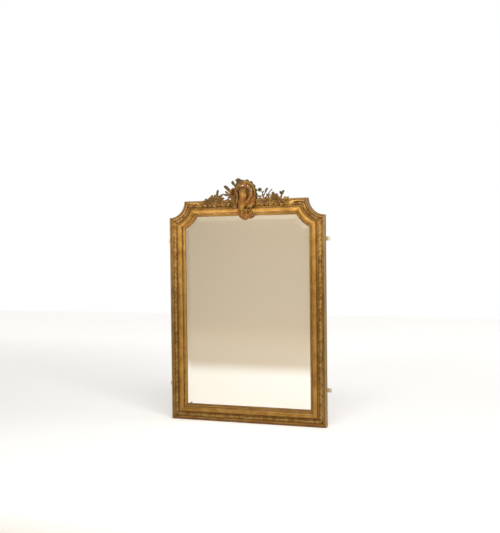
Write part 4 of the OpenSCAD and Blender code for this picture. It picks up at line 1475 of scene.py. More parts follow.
@dataclass
class Spray(CrestWork):
    """A stem with leaves and flowers, lying on the top moulding beside the shell."""

    hand: Hand
    seed: int = 5
    low_row: float = -30.0
    fillers: int = 15
    first: float = 102.0
    pitch: float = 12.0

    def stems(self) -> list[Solid]:
        """The stem and, on the right, the stalks of the buds and tall leaves, and the buds.

        Returns:
            Meshes in ornament points.
        """
        if self.hand is Hand.LEFT:
            stem = ((-84, 5, -20, 6), (-130, 6, -23, 6), (-180, 6, -22, 6), (-236, 5, -23, 5))
            return [tube((*stem, (-284, 4, -18, 3.5)))]
        stalks = (
            ((82, 5, -22, 6), (132, 6, -25, 6), (180, 6, -22, 6), (236, 5, -23, 5), (276, 4, -17, 3.5)),
            ((74, 7, 48, 4.0), (84, 9, 54, 3.6), (95, 10, 57, 3.6)),
            ((80, 8, 20, 3.4), (94, 10, 18, 3.2), (106, 10, 6, 3.2), (118, 8, -10, 3.6)),
            ((118, 8, -18, 4.2), (122, 10, 8, 3.4), (134, 10, 38, 3.0), (140, 10, 48, 2.6)),
            ((122, 10, 8, 3.0), (116, 10, 24, 2.6), (120, 10, 36, 2.2)),
            ((124, 8, -18, 4.2), (140, 10, 10, 3.4), (160, 10, 38, 2.8), (172, 9, 52, 2.8), (179, 8, 57, 4)),
            ((228, 8, -16, 6.4), (235, 10, 8, 6.2), (240, 10, 30, 5.6)),
        )
        balls = (((101, 10, 57), 12.5, 16), ((101, 20, 60), 5.5, 12), ((241, 10, 34), 10.5, 14))
        return [*map(tube, stalks), *(ball(*row) for row in balls)]

    def flowers(self) -> list[Solid]:
        """The open flowers.

        Returns:
            Meshes in ornament points.
        """
        if self.hand is Hand.LEFT:
            rows = [
                (-214, 12, 2, 24, 5), (-182, 14, -4, 22, 6), (-152, 12, 2, 18, 5), (-245, 10, -8, 17, 5),
                (-121, 11, -14, 17, 5),
            ]
        else:
            rows = [
                (192, 13, 6, 26, 6), (150, 11, -10, 19, 5), (221, 12, -6, 20, 5), (116, 10, -12, 17, 5),
                (250, 8, -14, 13, 5),
            ]
        return [flower(p[:3], p[3], p[4], turn=20 + 13 * i) for i, p in enumerate(rows)]

    def leaf_rows(self) -> list[Point]:
        """Feet and tips (x, z, x, z) and widths of the leaves.

        Returns:
            One row for each leaf.
        """
        if self.hand is Hand.LEFT:
            return [
                (-270, -22, -298, -14, 22), (-266, -18, -270, 3, 22), (-250, -10, -250, 15, 20),
                (-236, -6, -236, 12, 18), (-176, 4, -179, 31, 18), (-160, 0, -165, 32, 18),
                (-214, 2, -209, 36, 21), (-196, 6, -190, 37, 18), (-178, 20, -170, 67, 19),
                (-172, 16, -184, 42, 13), (-166, 10, -151, 30, 14), (-158, 2, -143, 38, 20),
                (-148, -2, -130, 15, 18), (-118, -14, -98, 8, 20), (-266, -22, -290, -36, 18),
                (-242, -24, -258, -42, 20), (-214, -24, -226, -43, 20), (-186, -24, -194, -43, 20),
                (-158, -24, -162, -43, 20), (-130, -24, -130, -43, 20), (-102, -22, -96, -42, 20),
                (-226, -8, -240, 6, 18), (-200, 0, -196, 26, 18), (-166, -2, -162, 26, 18),
                (-138, -8, -144, 14, 16),
            ]
        return [
            (136, 38, 151, 67, 17), (120, 34, 112, 46, 9), (120, 36, 128, 48, 9), (128, 22, 113, 28, 12),
            (146, 14, 170, 25, 15), (152, 20, 144, 34, 11), (186, 10, 186, 43, 22), (203, 10, 211, 32, 18),
            (238, 26, 254, 50, 17), (234, 24, 228, 46, 12), (204, -2, 216, 20, 20), (246, -20, 262, 12, 21),
            (264, -14, 282, 9, 20), (266, -18, 301, -8, 20), (260, -20, 286, -36, 18),
            (234, -24, 248, -43, 20), (206, -24, 214, -43, 20), (178, -24, 184, -43, 20),
            (150, -24, 153, -43, 20), (122, -24, 122, -43, 20), (96, -22, 91, -42, 19),
            (104, -14, 90, 6, 20), (82, 18, 112, 14, 17), (92, -6, 110, 22, 15), (224, -8, 232, 14, 17),
            (160, 0, 156, 16, 16), (132, -8, 134, 12, 16),
        ]

    def carve(self) -> Solid:
        """Builds the spray.

        Returns:
            The mesh in ornament points.
        """
        rng = np.random.default_rng(self.seed)
        blade = partial(Leaf, lobes=2, cut=0.2, form=LeafForm.BLADE)
        parts = self.stems() + self.flowers()
        for x0, z0, x1, z1, wide in self.leaf_rows():
            low = z1 < self.low_row
            if low:
                x1, z1, wide = x1 + rng.uniform(-10, 10), z1 + rng.uniform(0, 9), wide - rng.uniform(0, 6)
            foot = (x0, 7 + rng.uniform(0, 2), z0)
            tip = (x1, (5 if low else 7) + rng.uniform(0, 3), z1)
            curve = {"rise": rng.uniform(4, 7), "bend": rng.uniform(-2, 2), "curl": rng.uniform(1, 3)}
            parts.append(blade(foot, tip, wide, vein=1.1, thick=3.6, rows=18, cols=9, **curve).mesh())
        # Smaller leaves and berries fill the gaps between the flowers, over the moulding.
        side = -1 if self.hand is Hand.LEFT else 1
        for i in range(self.fillers):
            x = side * (self.first + self.pitch * i + rng.uniform(-3, 3))
            z = rng.uniform(-26, -10)
            a = rng.uniform(0.1, 0.9) * math.pi
            reach = rng.uniform(16, 21)
            tip = (x + reach * math.cos(a), 11 + rng.uniform(0, 5), z + 0.8 * reach * math.sin(a))
            parts.append(blade((x, 8, z), tip, 17, rise=6, curl=2, thick=3.4, rows=14, cols=7).mesh())
            if i % 2:
                parts.append(ball((x + 5 * side, 13, z + 4), 4.2, 10))
        return join_all(map(outwards, parts))

    def rubbed(self, points: Array) -> Array:
        """Bole colour low between the leaves, as painted shade and rubbed leaf, and dull leaf higher up.

        Args:
            points: points in millimetres, in the frame's space.

        Returns:
            Shares from 0 to 1.
        """
        _, h, z = from_frame(points)
        # Bole low between the leaves darkens the gaps as painted shade.
        low = 0.75 * share((14 - h) / 8) * share((34 - np.abs(z)) / 20)
        return low - np.clip((z - 14) / 22, 0, 0.85)


class Shade:
    """How deep each point of the crest lies under the mean front of the work about it."""

    def __init__(
        self, solids: Sequence[Solid], cell: float = 1.6, spreads: tuple[float, ...] = (8.0, 19.0)
    ) -> None:
        """Draws a height map of the work's front and softens it, finely and broadly.

        Args:
            solids: the crest's meshes, in ornament points.
            cell: width of a cell in millimetres.
            spreads: how far each front is averaged, in millimetres.
        """
        p = np.vstack([s.points for s in solids])
        self.cell = cell
        self.low = p.min(0) - 4 * max(spreads)
        size = np.ceil((p.max(0) + 4 * max(spreads) - self.low) / cell).astype(int)
        front = np.full((size[0], size[2]), -4.0)
        i, j = ((p[:, k] - self.low[k]) / cell for k in (0, 2))
        np.maximum.at(front, (i.astype(int), j.astype(int)), p[:, 1])
        self.fronts = [self.softened(front, spread) for spread in spreads]

    def softened(self, front: Array, spread: float) -> Array:
        """Averages a height map.

        Args:
            front: the map.
            spread: how far, in millimetres.

        Returns:
            The softened map.
        """
        reach = int(3 * spread / self.cell)
        taps = np.exp(-0.5 * (np.arange(-reach, reach + 1) * self.cell / spread) ** 2)
        taps /= taps.sum()
        for axis in (0, 1):
            front = np.apply_along_axis(np.convolve, axis, front, taps, "same")
        return front

    def toning_and_painted_shading(self, points: Array, more: float) -> Array:
        """Painted shade for points in the frame's space: above zero where they lie deep, and a painted
        highlight below zero where they stand proud.

        Args:
            points: points in millimetres.
            more: what this piece has on top of that.

        Returns:
            What to add to the relief.
        """
        x, h, z = from_frame(points)
        i, j = (((p - low) / self.cell).astype(int) for p, low in ((x, self.low[0]), (z, self.low[2])))
        fine, broad = (front[i, j] - h for front in self.fronts)
        # Deep points get painted shade, proud ones a painted highlight.
        deep = np.maximum(np.clip((fine - 0.5) / 6.5, 0, 0.85), np.clip((broad - 1.5) / 9, 0, 0.75))
        return deep - np.clip((-fine - 2) / 9, 0, 0.5) + more


@dataclass
class Crest:
    """All the carved and pressed work on the top of the frame."""

    def build(self, coats: dict[str, bpy.types.Material]) -> None:
        """Makes and seats the crest's pieces.

        Args:
            coats: the finishes by slot name.
        """
        # Node, work, finish, how deep its hollows are, how broad, and how much more painted shade and toning
        # it has than the rest.
        rows = (
            ("cartouche", Cartouche(), "gilt_cartouche", 1.1, 8, 0.0),
            ("cartouche_rim", Rim(), "gilt_crest_leaf", 1.1, 7, 0.22),
            ("left_scroll", LeftScroll(), "gilt_crest_leaf", 1.1, 7, 0.0),
            ("pendant", Pendant(), "gilt_cartouche", 1.1, 7, 0.1),
            ("acanthus_leaves", Acanthus(), "gilt_crest_leaf", 0.8, 4, 0.16),
            ("finial_leaves", Finial(), "gilt_crest_leaf", 0.7, 3, 0.1),
            ("left_spray", Spray(Hand.LEFT, 5), "gilt_spray", 0.7, 3, 0.28),
            ("right_spray", Spray(Hand.RIGHT, 9), "gilt_spray", 0.7, 3, 0.0),
        )
        solids = [row[1].carve() for row in rows]
        shade = Shade(solids)
        for solid, (node, work, slot, depth, rounds, shade_and_toning) in zip(solids, rows):
            toning_and_painted_shading = partial(shade.toning_and_painted_shading, more=shade_and_toning)
            obj = make_piece(f"crest_{node}", to_frame(solid), coats[slot], depth, rounds, work.rubbed, toning_and_painted_shading)
            seat(obj, node, slot=slot)
    

# ---- strips on the moulding ----


@dataclass
class LeafStrips:
    """The pressed leaf ornament on the moulding's ground, a strip to each length."""

    sizes: FrameSizes = SIZES
    pitch: float = 32.0
    proud: float = 6.4
    edge: float = 0.6
    inner_edge: float = 2.2
    step: float = 1.5
    columns: int = 22

    def leaf(self, x: Array, t: Array) -> Array:
        """Height of one leaf.

        Args:
            x: share of the pitch from the leaf's foot.
            t: distance from the strip's middle in millimetres.

        Returns:
            Heights in millimetres, below zero outside the leaf.
        """
        wide = self.sizes.ground / 2 - 0.8
        v = np.abs(t) / wide
        sweep = x - 0.20 * v
        body = share((1.20 - sweep) / 0.62) ** 0.62 * (0.62 + 0.38 * share((sweep + 0.15) / 0.35))
        tooth = (3.0 * sweep + 0.35) % 1.0
        notch = np.where(tooth < 0.72, 1 - tooth / 0.72, (tooth - 0.72) / 0.28)
        half = np.maximum(body * (1 - 0.46 * notch**1.3), 0.02)
        q = v / half
        dome = np.sqrt(share(1 - q * q))
        rise = 0.30 + 0.70 * share(x) ** 0.8
        rise = rise * share((1.24 - x) / 0.12) ** 0.6
        veins = 0.55 * np.sin(2 * np.pi * (3.0 * sweep + 0.12)) * share(v * 2.2)
        midrib = 0.9 * hump(t / 1.3) - 0.8 * hump((np.abs(t) - 2.9) / 1.1)
        height = self.proud * rise * (0.30 + 0.62 * dome) + (veins + midrib) * share(1.2 - q)
        return np.where(q < 1, height, -1.0)

    def height(self, along: Array, t: Array, seed: int) -> Array:
        """Height of the strip over the ground.

        Args:
            along: distance along the strip in millimetres.
            t: distance from its middle.
            seed: picks its unevenness.

        Returns:
            Heights in millimetres.
        """
        x = (along / self.pitch) % 1.0
        ground = 0.35 + 0.25 * np.cos(2 * np.pi * (along + t) / 3.2) * np.cos(2 * np.pi * (along - t) / 3.2)
        top = np.maximum(np.maximum(ground, self.leaf(x, t)), self.leaf(x + 1, t) + 0.3)
        worn = waviness(along, t, seed, 90)
        return np.minimum(top * (0.86 + 0.2 * worn), self.proud)

    def strip(self, side: Side, start: float, end: float, seed: int) -> Solid:
        """Mesh of one strip.

        Args:
            side: the length of moulding it lies on.
            start: share of that length where it starts.
            end: share where it ends.
            seed: picks its unevenness.

        Returns:
            A closed mesh.
        """
        run, s = Run(side, self.sizes), self.sizes
        long = run.length(s.ground_mid)
        rows = max(8, round(abs(end - start) * long / self.step))
        u = np.linspace(start, end, rows)
        w = np.linspace(s.ground_0 + self.edge, s.ground_1 - self.inner_edge, self.columns)
        uu, ww = np.meshgrid(u, w, indexing="ij")
        middle = (w[0] + w[-1]) / 2
        along = (uu if start < end else 1 - uu) * long
        h = s.ground_h + self.height(along, (ww - middle) * 1.06, seed)
        h[:, [0, -1]] = s.ground_h + 0.3
        low = np.full((rows, 1), s.ground_h - 1.0)
        uu, ww = (np.pad(grid, ((0, 0), (1, 1)), "edge") for grid in (uu, ww))
        return skin(run.place(uu, ww, np.hstack([low, h, low])), run.flips != (start > end))

    def toning_and_painted_shading(self, points: Array, more: float) -> Array:
        """Painted shade, with toning, on the ground and the leaves' feet, a painted highlight on their tips,
        and a strip's own extra shade.
        """
        height = -points[:, 1] - self.sizes.ground_h
        return np.clip((3.2 - height) / 3.0, -0.6, 0.5) + more

    def build(self, finish: bpy.types.Material) -> None:
        """Makes and seats the seven strips.

        Args:
            finish: the gilding.
        """
        s = self.sizes
        bare = s.bare_strip / (s.width - 2 * s.mitre(s.ground_mid))
        # The last number adds to a strip's painted shade and toning, or lightens it below zero.
        rows = [
            ("left", Side.LEFT, 0.0, 1.0, 0.0),
            ("right", Side.RIGHT, 0.0, 1.0, -0.1),
            ("bottom", Side.BOTTOM, 0.0, 1.0, -0.25),
            ("top_left", Side.TOP, 0.0, bare, 0.2),
            ("top_right", Side.TOP, 1.0, 1.0 - bare, 0.4),
            ("left_corner", Side.LEFT_CORNER, 0.0, 1.0, 0.3),
            ("right_corner", Side.RIGHT_CORNER, 0.0, 1.0, 0.3),
        ]
        for seed, (name, side, start, end, shade_and_toning) in enumerate(rows):
            solid = self.strip(side, start, end, 40 + seed)
            toning_and_painted_shading = partial(self.toning_and_painted_shading, more=shade_and_toning)
            obj = make_piece(f"leaves_{name}", solid, finish, depth=0.9, rounds=4, toning_and_painted_shading=toning_and_painted_shading)
            seat(obj, f"{name}_leaf_strip", slot="gilt_leaf_strip")
    

@dataclass
class SightBeads:
    """Rows of small beads let into the bed beside the torus."""

    sizes: FrameSizes = SIZES
    pitch: float = 7.4
    radius: float = 3.1

    def build(self, finish: bpy.types.Material) -> None:
        """Makes and seats the six rows.

        Args:
            finish: the gilding.
        """
        s = self.sizes
        bead = ball((0, 0, 0), self.radius, 8, 0.9)
        turned = Solid(bead.points[:, [0, 2, 1]], bead.faces)
        motif = make_piece("bead_motif", outwards(turned), finish, rounds=1)
        for seed, side in enumerate(Side):
            run = Run(side, s)
            inset = 0.5 * self.pitch / run.length(s.pearl_w)
            path = run.place(np.linspace(inset, 1 - inset, 90), s.pearl_w, s.bed_h + 1.2)
            row = RowAlongPath(motif, finish, self.pitch, scale=1.0, vary=0.05, seed=seed + 3)
            obj = row.along(f"beads_{side.value}", path)
            seat(obj, f"{side.value}_sight_bead", slot="gilt_bead")
        bpy.data.objects.remove(motif)


# ---- finishes ----


def new_finish(name: str) -> tuple[bpy.types.Material, Callable[..., Any], Any, Any]:
    """Starts a material.

    Args:
        name: its name.

    Returns:
        The material, a call that adds a node to it, its shader, and the object's coordinates in millimetres.
    """
    material = bpy.data.materials.new(name)
    material.use_nodes = True
    tree = material.node_tree

    def node(kind: str, ins: Any = (), out: int | str | None = None, **props: Any) -> Any:
        return add(tree, "ShaderNode" + kind, ins, out, **props)

    place = node("TexCoord", out="Object")
    mm = node("VectorMath", {0: place, "Scale": 1 / MM}, operation="SCALE")
    return material, node, tree.nodes["Principled BSDF"], mm


@dataclass(frozen=True)
class Gilding:
    """Gold leaf on red bole over gesso, darkened in its hollows as painted shade and toning, lighter on proud
    parts as painted highlight, rubbed on its edges and dusty on top.
    """

    name: str
    gold: str = "#B98A48"
    light: str = "#DDB36C"
    # Colour of the painted shade in the hollows, with the toning there.
    hollow: str = "#371E0A"
    bole: str = "#6E3517"
    dust: str = "#857B66"
    aged: str = "#4A3E24"
    bare: str = "#7E5C38"
    size: str = "#B08C50"
    # How strongly the hollows take the painted shade colour.
    toning: float = 0.8
    rubbed: float = 0.45
    dusty: float = 0.35
    patch: float = 38.0
    metal: float = 0.78
    rough: float = 0.36
    seed: float = 0.0

    def make(self) -> bpy.types.Material:
        """Builds the material.

        Returns:
            The material.
        """
        material, node, shader, mm = new_finish(self.name)
        relief_shading = node("Attribute", out="Fac", attribute_name="relief")
        wear = node("Attribute", out="Fac", attribute_name="rubbed")
        clouds = {"Vector": mm, "W": self.seed, "Scale": 1 / self.patch, "Detail": 4.0}
        cloud = node("TexNoise", clouds, noise_dimensions="4D")
        # Gesso's own grit is under half a millimetre, and is drawn at 2.4 mm so that it shows.
        grit = node("TexNoise", {"Vector": mm, "Scale": 0.42, "Detail": 3.0})
        # Leaf comes 80 mm square, and each lay is a shade off its neighbour.
        shaken = node("VectorMath", (grit.outputs["Color"], (2.5, 2.5, 2.5), mm), operation="MULTIPLY_ADD")
        lays = node("VectorMath", (shaken, (80.0, 80.0, 80.0)), operation="SNAP")
        lay = node("TexWhiteNoise", {"Vector": lays}, "Value")
        tone = node("Math", (lay, 0.28, node("MapRange", (cloud, 0.36, 0.66))), operation="MULTIPLY_ADD")
        tone = node("Math", (tone, 0.20), operation="SUBTRACT")
        # Proud points are painted lighter: a painted highlight over the leaf's own tone.
        proud = node("MapRange", (relief_shading, -0.05, -0.80))
        tone = node("Math", (proud, 0.45, tone), operation="MULTIPLY_ADD", use_clamp=True)
        # Bole shows where the proud edges were rubbed.
        patchy = node("MapRange", (grit, 0.40, 0.62))
        worn = node("Math", (proud, patchy), operation="MULTIPLY")
        worn = node("Math", (worn, node("MapRange", (cloud, 0.60, 0.72, 0.0, 0.5))), operation="MAXIMUM")
        worn = node("Math", (worn, self.rubbed), operation="MULTIPLY")
        bared = (node("MapRange", (wear,)), node("MapRange", {0: patchy, 3: 0.4}))
        bared = node("Math", bared, operation="MULTIPLY")
        worn = node("Math", (worn, bared), operation="ADD", use_clamp=True)
        # Later bronze paint has gone olive on the leaves' outer parts.
        olive = node("MapRange", (wear, 0.0, -1.0))
        # Painted shade: the hollows take the dark hollow colour by the relief attribute, with the toning size
        # there, and dust lies on what faces up.
        shade_and_toning = node("Math", (node("MapRange", (relief_shading, 0.0, 0.60)), self.toning), operation="MULTIPLY")
        facing = node("SeparateXYZ", (node("NewGeometry", out="Normal"),)).outputs
        settled = node("MapRange", (facing["Z"], 0.45, 0.95, 0.0, self.dusty))
        settled = node("Math", (settled, cloud), operation="MULTIPLY")
        # Backs that face the wall were never gilded: bare wood and brushed-on yellow size.
        unseen = node("MapRange", (facing["Y"], 0.35, 0.75))
        sized = node("Mix", {0: cloud, 6: self.bare, 7: self.size}, 2, data_type="RGBA")
        coat = node("Mix", {0: tone, 6: self.gold, 7: self.light}, 2, data_type="RGBA")
        layers = {worn: self.bole, olive: self.aged, shade_and_toning: self.hollow, settled: self.dust, unseen: sized}
        for amount, colour in layers.items():
            coat = node("Mix", {0: amount, 6: coat, 7: colour}, 2, data_type="RGBA")
        dull = shade_and_toning
        for amount in (worn, unseen, settled):
            dull = node("Math", (dull, amount), operation="ADD")
        dull = node("Math", (olive, 0.6, dull), operation="MULTIPLY_ADD", use_clamp=True)
        rough = node("MapRange", {0: dull, 3: self.rough, 4: 0.62})
        rough = node("Math", (grit, 0.12, rough), operation="MULTIPLY_ADD")
        metal = node("MapRange", {0: dull, 3: self.metal, 4: 0.12})
        bump = node("Bump", {"Strength": 0.35, "Distance": 0.0005, "Height": grit})
        made = {"Base Color": coat, "Metallic": metal, "Roughness": rough, "Normal": bump}
        # Matt size, toning and painted shade have hardly any gloss of their own.
        plug(material.node_tree, shader, {**made, "Specular IOR Level": 0.2})
        return material


@dataclass(frozen=True)
class Pine:
    """Old softwood with growth rings, fibres and knots, under an ochre wash on its front."""

    name: str
    grain: int = 2
    light: str = "#B08A5B"
    dark: str = "#7E5B36"
    seed: float = 0.0
    first: float = 0.0
    pitch: float = 0.0
    wash: str = "#7A6136"
    knot: str = "#4A2F1A"
    age: str = "#5E4A33"

    def make(self) -> bpy.types.Material:
        """Builds the material.

        Returns:
            The material.
        """
        material, node, shader, mm = new_finish(self.name)
        long = [1.0, 1.0, 1.0]
        long[self.grain] = 0.035
        fibre = node("VectorMath", (mm, tuple(long)), operation="MULTIPLY")
        parts = node("SeparateXYZ", (mm,)).outputs
        cut, shade = self.seed, 0.5
        if self.pitch:
            # Boards of one slot lie edge to edge, and each was cut from another place in the tree.
            number = node("Math", (parts["Z"], self.first), operation="SUBTRACT")
            number = node("Math", (number, self.pitch), operation="DIVIDE")
            number = node("Math", (number,), operation="FLOOR")
            cut = node("Math", (number, 5.3, self.seed), operation="MULTIPLY_ADD")
            shade = node("TexWhiteNoise", {"W": number}, "Value", noise_dimensions="1D")
        # Rings of slow growth lie a millimetre or two apart. Fibres are hair-fine, and drawn at 1 mm to show.
        tree = {"Vector": fibre, "W": cut, "Scale": 0.035, "Detail": 2.0}
        warp = node("TexNoise", tree, noise_dimensions="4D")
        rings = node("Math", (node("Math", (warp, 46.0), operation="MULTIPLY"),), operation="FRACT")
        hairs = node("TexNoise", {"Vector": fibre, "Scale": 0.9, "Detail": 3.0})
        late = node("MapRange", (rings, 0.35, 0.95, 0.0, 0.75))
        grain = node("Math", (hairs, 0.45, late), operation="MULTIPLY_ADD")
        grain = node("Math", (shade, 0.34, grain), operation="MULTIPLY_ADD")
        grain = node("Math", (grain, 0.29), operation="SUBTRACT", use_clamp=True)
        knots = node("TexVoronoi", {"Vector": mm, "Scale": 1 / 190})
        stain = node("TexNoise", {"Vector": mm, "Scale": 1 / 120, "Detail": 4.0})
        wood = node("Mix", {0: grain, 6: self.light, 7: self.dark}, 2, data_type="RGBA")
        layers = (
            (knots, 0.075, 0.035, 0.85, self.knot),
            (stain, 0.48, 0.72, 0.45, self.age),
            (parts["Y"], -1.5, -3.5, 0.88, self.wash),
        )
        for source, start, end, most, colour in layers:
            amount = node("MapRange", (source, start, end, 0.0, most))
            wood = node("Mix", {0: amount, 6: wood, 7: colour}, 2, data_type="RGBA")
        bump = node("Bump", {"Strength": 0.4, "Distance": 0.0006, "Height": grain})
        plug(material.node_tree, shader, {"Base Color": wood, "Normal": bump, "Roughness": 0.78})
        return material


@dataclass(frozen=True)
class OldMetal:
    """Worked metal with tarnish or rust in patches, and fine scratches."""

    name: str
    clean: str
    patina: str
    spotted: float = 0.45
    rough: float = 0.38
    patch: float = 9.0
    metal: float = 1.0

    def make(self) -> bpy.types.Material:
        """Builds the material.

        Returns:
            The material.
        """
        material, node, shader, mm = new_finish(self.name)
        patches = node("TexNoise", {"Vector": mm, "Scale": 1 / self.patch, "Detail": 5.0, "Roughness": 0.65})
        mask = node("MapRange", (patches, 0.62 - 0.3 * self.spotted, 0.72 - 0.2 * self.spotted))
        # Scratches from drawing and filing are hair-fine, and are drawn a third of a millimetre wide.
        drawn = node("VectorMath", (mm, (0.05, 1.0, 3.0)), operation="MULTIPLY")
        lines = node("TexNoise", {"Vector": drawn, "Scale": 1.0, "Detail": 2.0})
        colour = node("Mix", {0: mask, 6: self.clean, 7: self.patina}, 2, data_type="RGBA")
        rough = node("MapRange", {0: mask, 3: self.rough, 4: 0.72})
        rough = node("Math", (lines, 0.12, rough), operation="MULTIPLY_ADD")
        metal = node("MapRange", {0: mask, 3: self.metal, 4: 0.15})
        high = node("Math", (lines, 0.3, mask), operation="MULTIPLY_ADD")
        bump = node("Bump", {"Strength": 0.3, "Distance": 0.0002, "Height": high})
        made = {"Base Color": colour, "Metallic": metal, "Roughness": rough, "Normal": bump}
        plug(material.node_tree, shader, made)
        return material


@dataclass(frozen=True)
class SilveredGlass:
    """Old mirror plate: a slightly warm reflection, foxed where damp reached the silver."""

    name: str
    tint: str = "#F4EFE6"
    foxing: str = "#6B5A45"
    half_wide: float = 410.0
    low: float = 90.0
    high: float = 1296.0
    blot: Point = (-376.0, -26.0, 101.0)

    def make(self) -> bpy.types.Material:
        """Builds the material.

        Returns:
            The material.
        """
        material, node, shader, mm = new_finish(self.name)
        parts = node("SeparateXYZ", (mm,)).outputs
        across = node("Math", (parts["X"],), operation="ABSOLUTE")
        near = node("Math", (self.half_wide, across), operation="SUBTRACT")
        for span in ((parts["Z"], self.low), (self.high, parts["Z"])):
            near = node("Math", (near, node("Math", span, operation="SUBTRACT")), operation="MINIMUM")
        # Damp creeps in from the rebate: spots within 60 mm of the edge, and one large blot at the foot.
        rim = node("MapRange", (near, 60.0, 0.0, 0.0, 0.16))
        blots = node("TexNoise", {"Vector": mm, "Scale": 0.16, "Detail": 6.0, "Roughness": 0.7})
        level = node("Math", (blots, rim), operation="ADD")
        aside = node("VectorMath", (mm, self.blot), "Value", operation="DISTANCE")
        one = node("MapRange", (aside, 11.0, 4.0, 0.0, 0.75))
        spots = node("Math", (node("MapRange", (level, 0.74, 0.80, 0.0, 0.8)), one), operation="MAXIMUM")
        haze = node("TexNoise", {"Vector": mm, "Scale": 1 / 260, "Detail": 3.0})
        colour = node("Mix", {0: spots, 6: self.tint, 7: self.foxing}, 2, data_type="RGBA")
        rough = node("MapRange", {0: haze, 3: 0.005, 4: 0.03})
        rough = node("Math", (spots, 0.15, rough), operation="MULTIPLY_ADD")
        silver = node("Math", (1.0, spots), operation="SUBTRACT")
        plug(material.node_tree, shader, {"Base Color": colour, "Roughness": rough, "Metallic": silver})
        return material


class Palette:
    """Every finish on the mirror, by the record's slot names."""

    def __init__(self) -> None:
        """Makes the materials."""
        finishes = [
            # Burnished water gilding on the run moulding: a deep yellow lustre, with painted shade in brown
            # where it is low.
            Gilding("gilt_moulding", "#91672B", "#B38A46", aged="#857559", toning=0.45, patch=60.0, seed=1.0),
            # Oil gilding on pressed leaves: satin and browner, with painted highlights on the tips over a
            # ground in painted shade.
            Gilding("gilt_leaf_strip", "#755021", "#B08D4F", rubbed=0.2, seed=2.0),
            # Burnished leaf on the fine beads: the brightest gold, a row of glints.
            Gilding("gilt_bead", "#B08440", "#DDB56C", rubbed=0.2, seed=3.0),
            # Gilding on the carved shell: gold crowns that fade to brown painted shade, with red bole at the
            # waist.
            Gilding("gilt_cartouche", "#7A4E1C", "#9F7A38", "#4A2A10", toning=1.0, rubbed=0.5, seed=4.0),
            # The same over sharp leaves: darker, partly as painted shade, with painted highlights on their
            # ridges.
            Gilding("gilt_crest_leaf", "#62411A", "#8E6C34", bole="#5C2B13", toning=1, rubbed=0.5, seed=5),
            # Gilding on small flowers, long unwashed: dull, dusty gold, darker partly as painted shade, with
            # painted shade in the gaps.
            Gilding("gilt_spray", "#5A3C1A", "#876A38", toning=1.0, rubbed=0.4, seed=6.0),
            # Tin and mercury silvering behind old plate: a clear, faintly warm reflection with foxed spots.
            SilveredGlass("mirror_glass"),
            # Rolled brass, lacquered long ago: pale straw with greenish tarnish.
            OldMetal("plate_brass", "#D8C79A", "#B7C4AC", 0.5, 0.42),
            # Wrought iron strap: dark grey, with brown rust in patches.
            OldMetal("strap_iron", "#5A5552", "#5B3A26", 0.6, 0.5, 14.0),
            # Steel screws and cut nails: grey, browned in small spots.
            OldMetal("dark_steel", "#6B6660", "#4A3427", 0.4, 0.42, 3.0),
        ]
        self.by_slot: dict[str, bpy.types.Material] = {f.name: f.make() for f in finishes}
        self.wood: dict[tuple[str, int], bpy.types.Material] = {}
        # Sawn pine, aged in air: warm brown with soft rings. The planks of the back are the palest.
        shades = {
            "carcass_pine": ("#B08A5B", "#7E5B36"),
            "block_pine": ("#A57E50", "#6F4D2C"),
            "backboard_pine": ("#B7946A", "#8A6A45"),
        }
        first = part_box("backboard_1")[0][2] / MM
        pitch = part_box("backboard_2")[0][2] / MM - first
        for number, (slot, (light, dark)) in enumerate(shades.items()):
            for grain, along in ((0, "x"), (2, "z")):
                boards = (first, pitch) if slot == "backboard_pine" else (0.0, 0.0)
                pine = Pine(f"{slot}_{along}", grain, light, dark, float(number * 3 + grain), *boards)
                self.wood[slot, grain] = pine.make()

    def finish(self, slot: str, size: Vector) -> bpy.types.Material:
        """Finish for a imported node.

        Args:
            slot: the node's material slot.
            size: the node's size, which sets the way its grain runs.

        Returns:
            The material.
        """
        if slot in self.by_slot:
            return self.by_slot[slot]
        return self.wood[slot, 0 if size.x > size.z else 2]


# ---- studio ----


@dataclass(frozen=True)
class PhotoCamera:
    """The camera that took the photograph, fitted to the frame's outline."""

    place: Point = (1.285, -4.152, 1.070)
    yaw: float = 16.97
    pitch: float = -1.30
    roll: float = -0.645
    focal_px: float = 696.0
    long_side: int = 533
    sensor: float = 36.0

    def build(self) -> None:
        """Makes the camera and sets it as the scene's."""
        data = bpy.data.cameras.new("photo_camera")
        data.sensor_width = self.sensor
        data.lens = self.focal_px * self.sensor / self.long_side
        stand = Matrix.Translation(self.place)
        for axis, degrees in (("Z", self.yaw), ("X", 90 + self.pitch), ("Z", self.roll)):
            stand @= Matrix.Rotation(math.radians(degrees), 4, axis)
        camera = placed("photo_camera", data)
        camera.matrix_world = stand
        bpy.context.scene.camera = camera


@dataclass(frozen=True)
class Lamp:
    """A soft rectangular lamp."""

    name: str
    place: Point
    aim: Point
    wide: float
    high: float
    watts: float
    tint: str = "#FFFFFF"
    spread: float = 180.0

    def build(self) -> None:
        """Makes the lamp."""
        data = bpy.data.lights.new(self.name, "AREA")
        data.shape = "RECTANGLE"
        data.size, data.size_y = self.wide, self.high
        data.energy = self.watts
        data.spread = math.radians(self.spread)
        data.color = srgb(self.tint)[:3]
        lamp = placed(self.name, data)
        lamp.location = self.place
        lamp.rotation_euler = (Vector(self.aim) - Vector(self.place)).to_track_quat("-Z", "Y").to_euler()


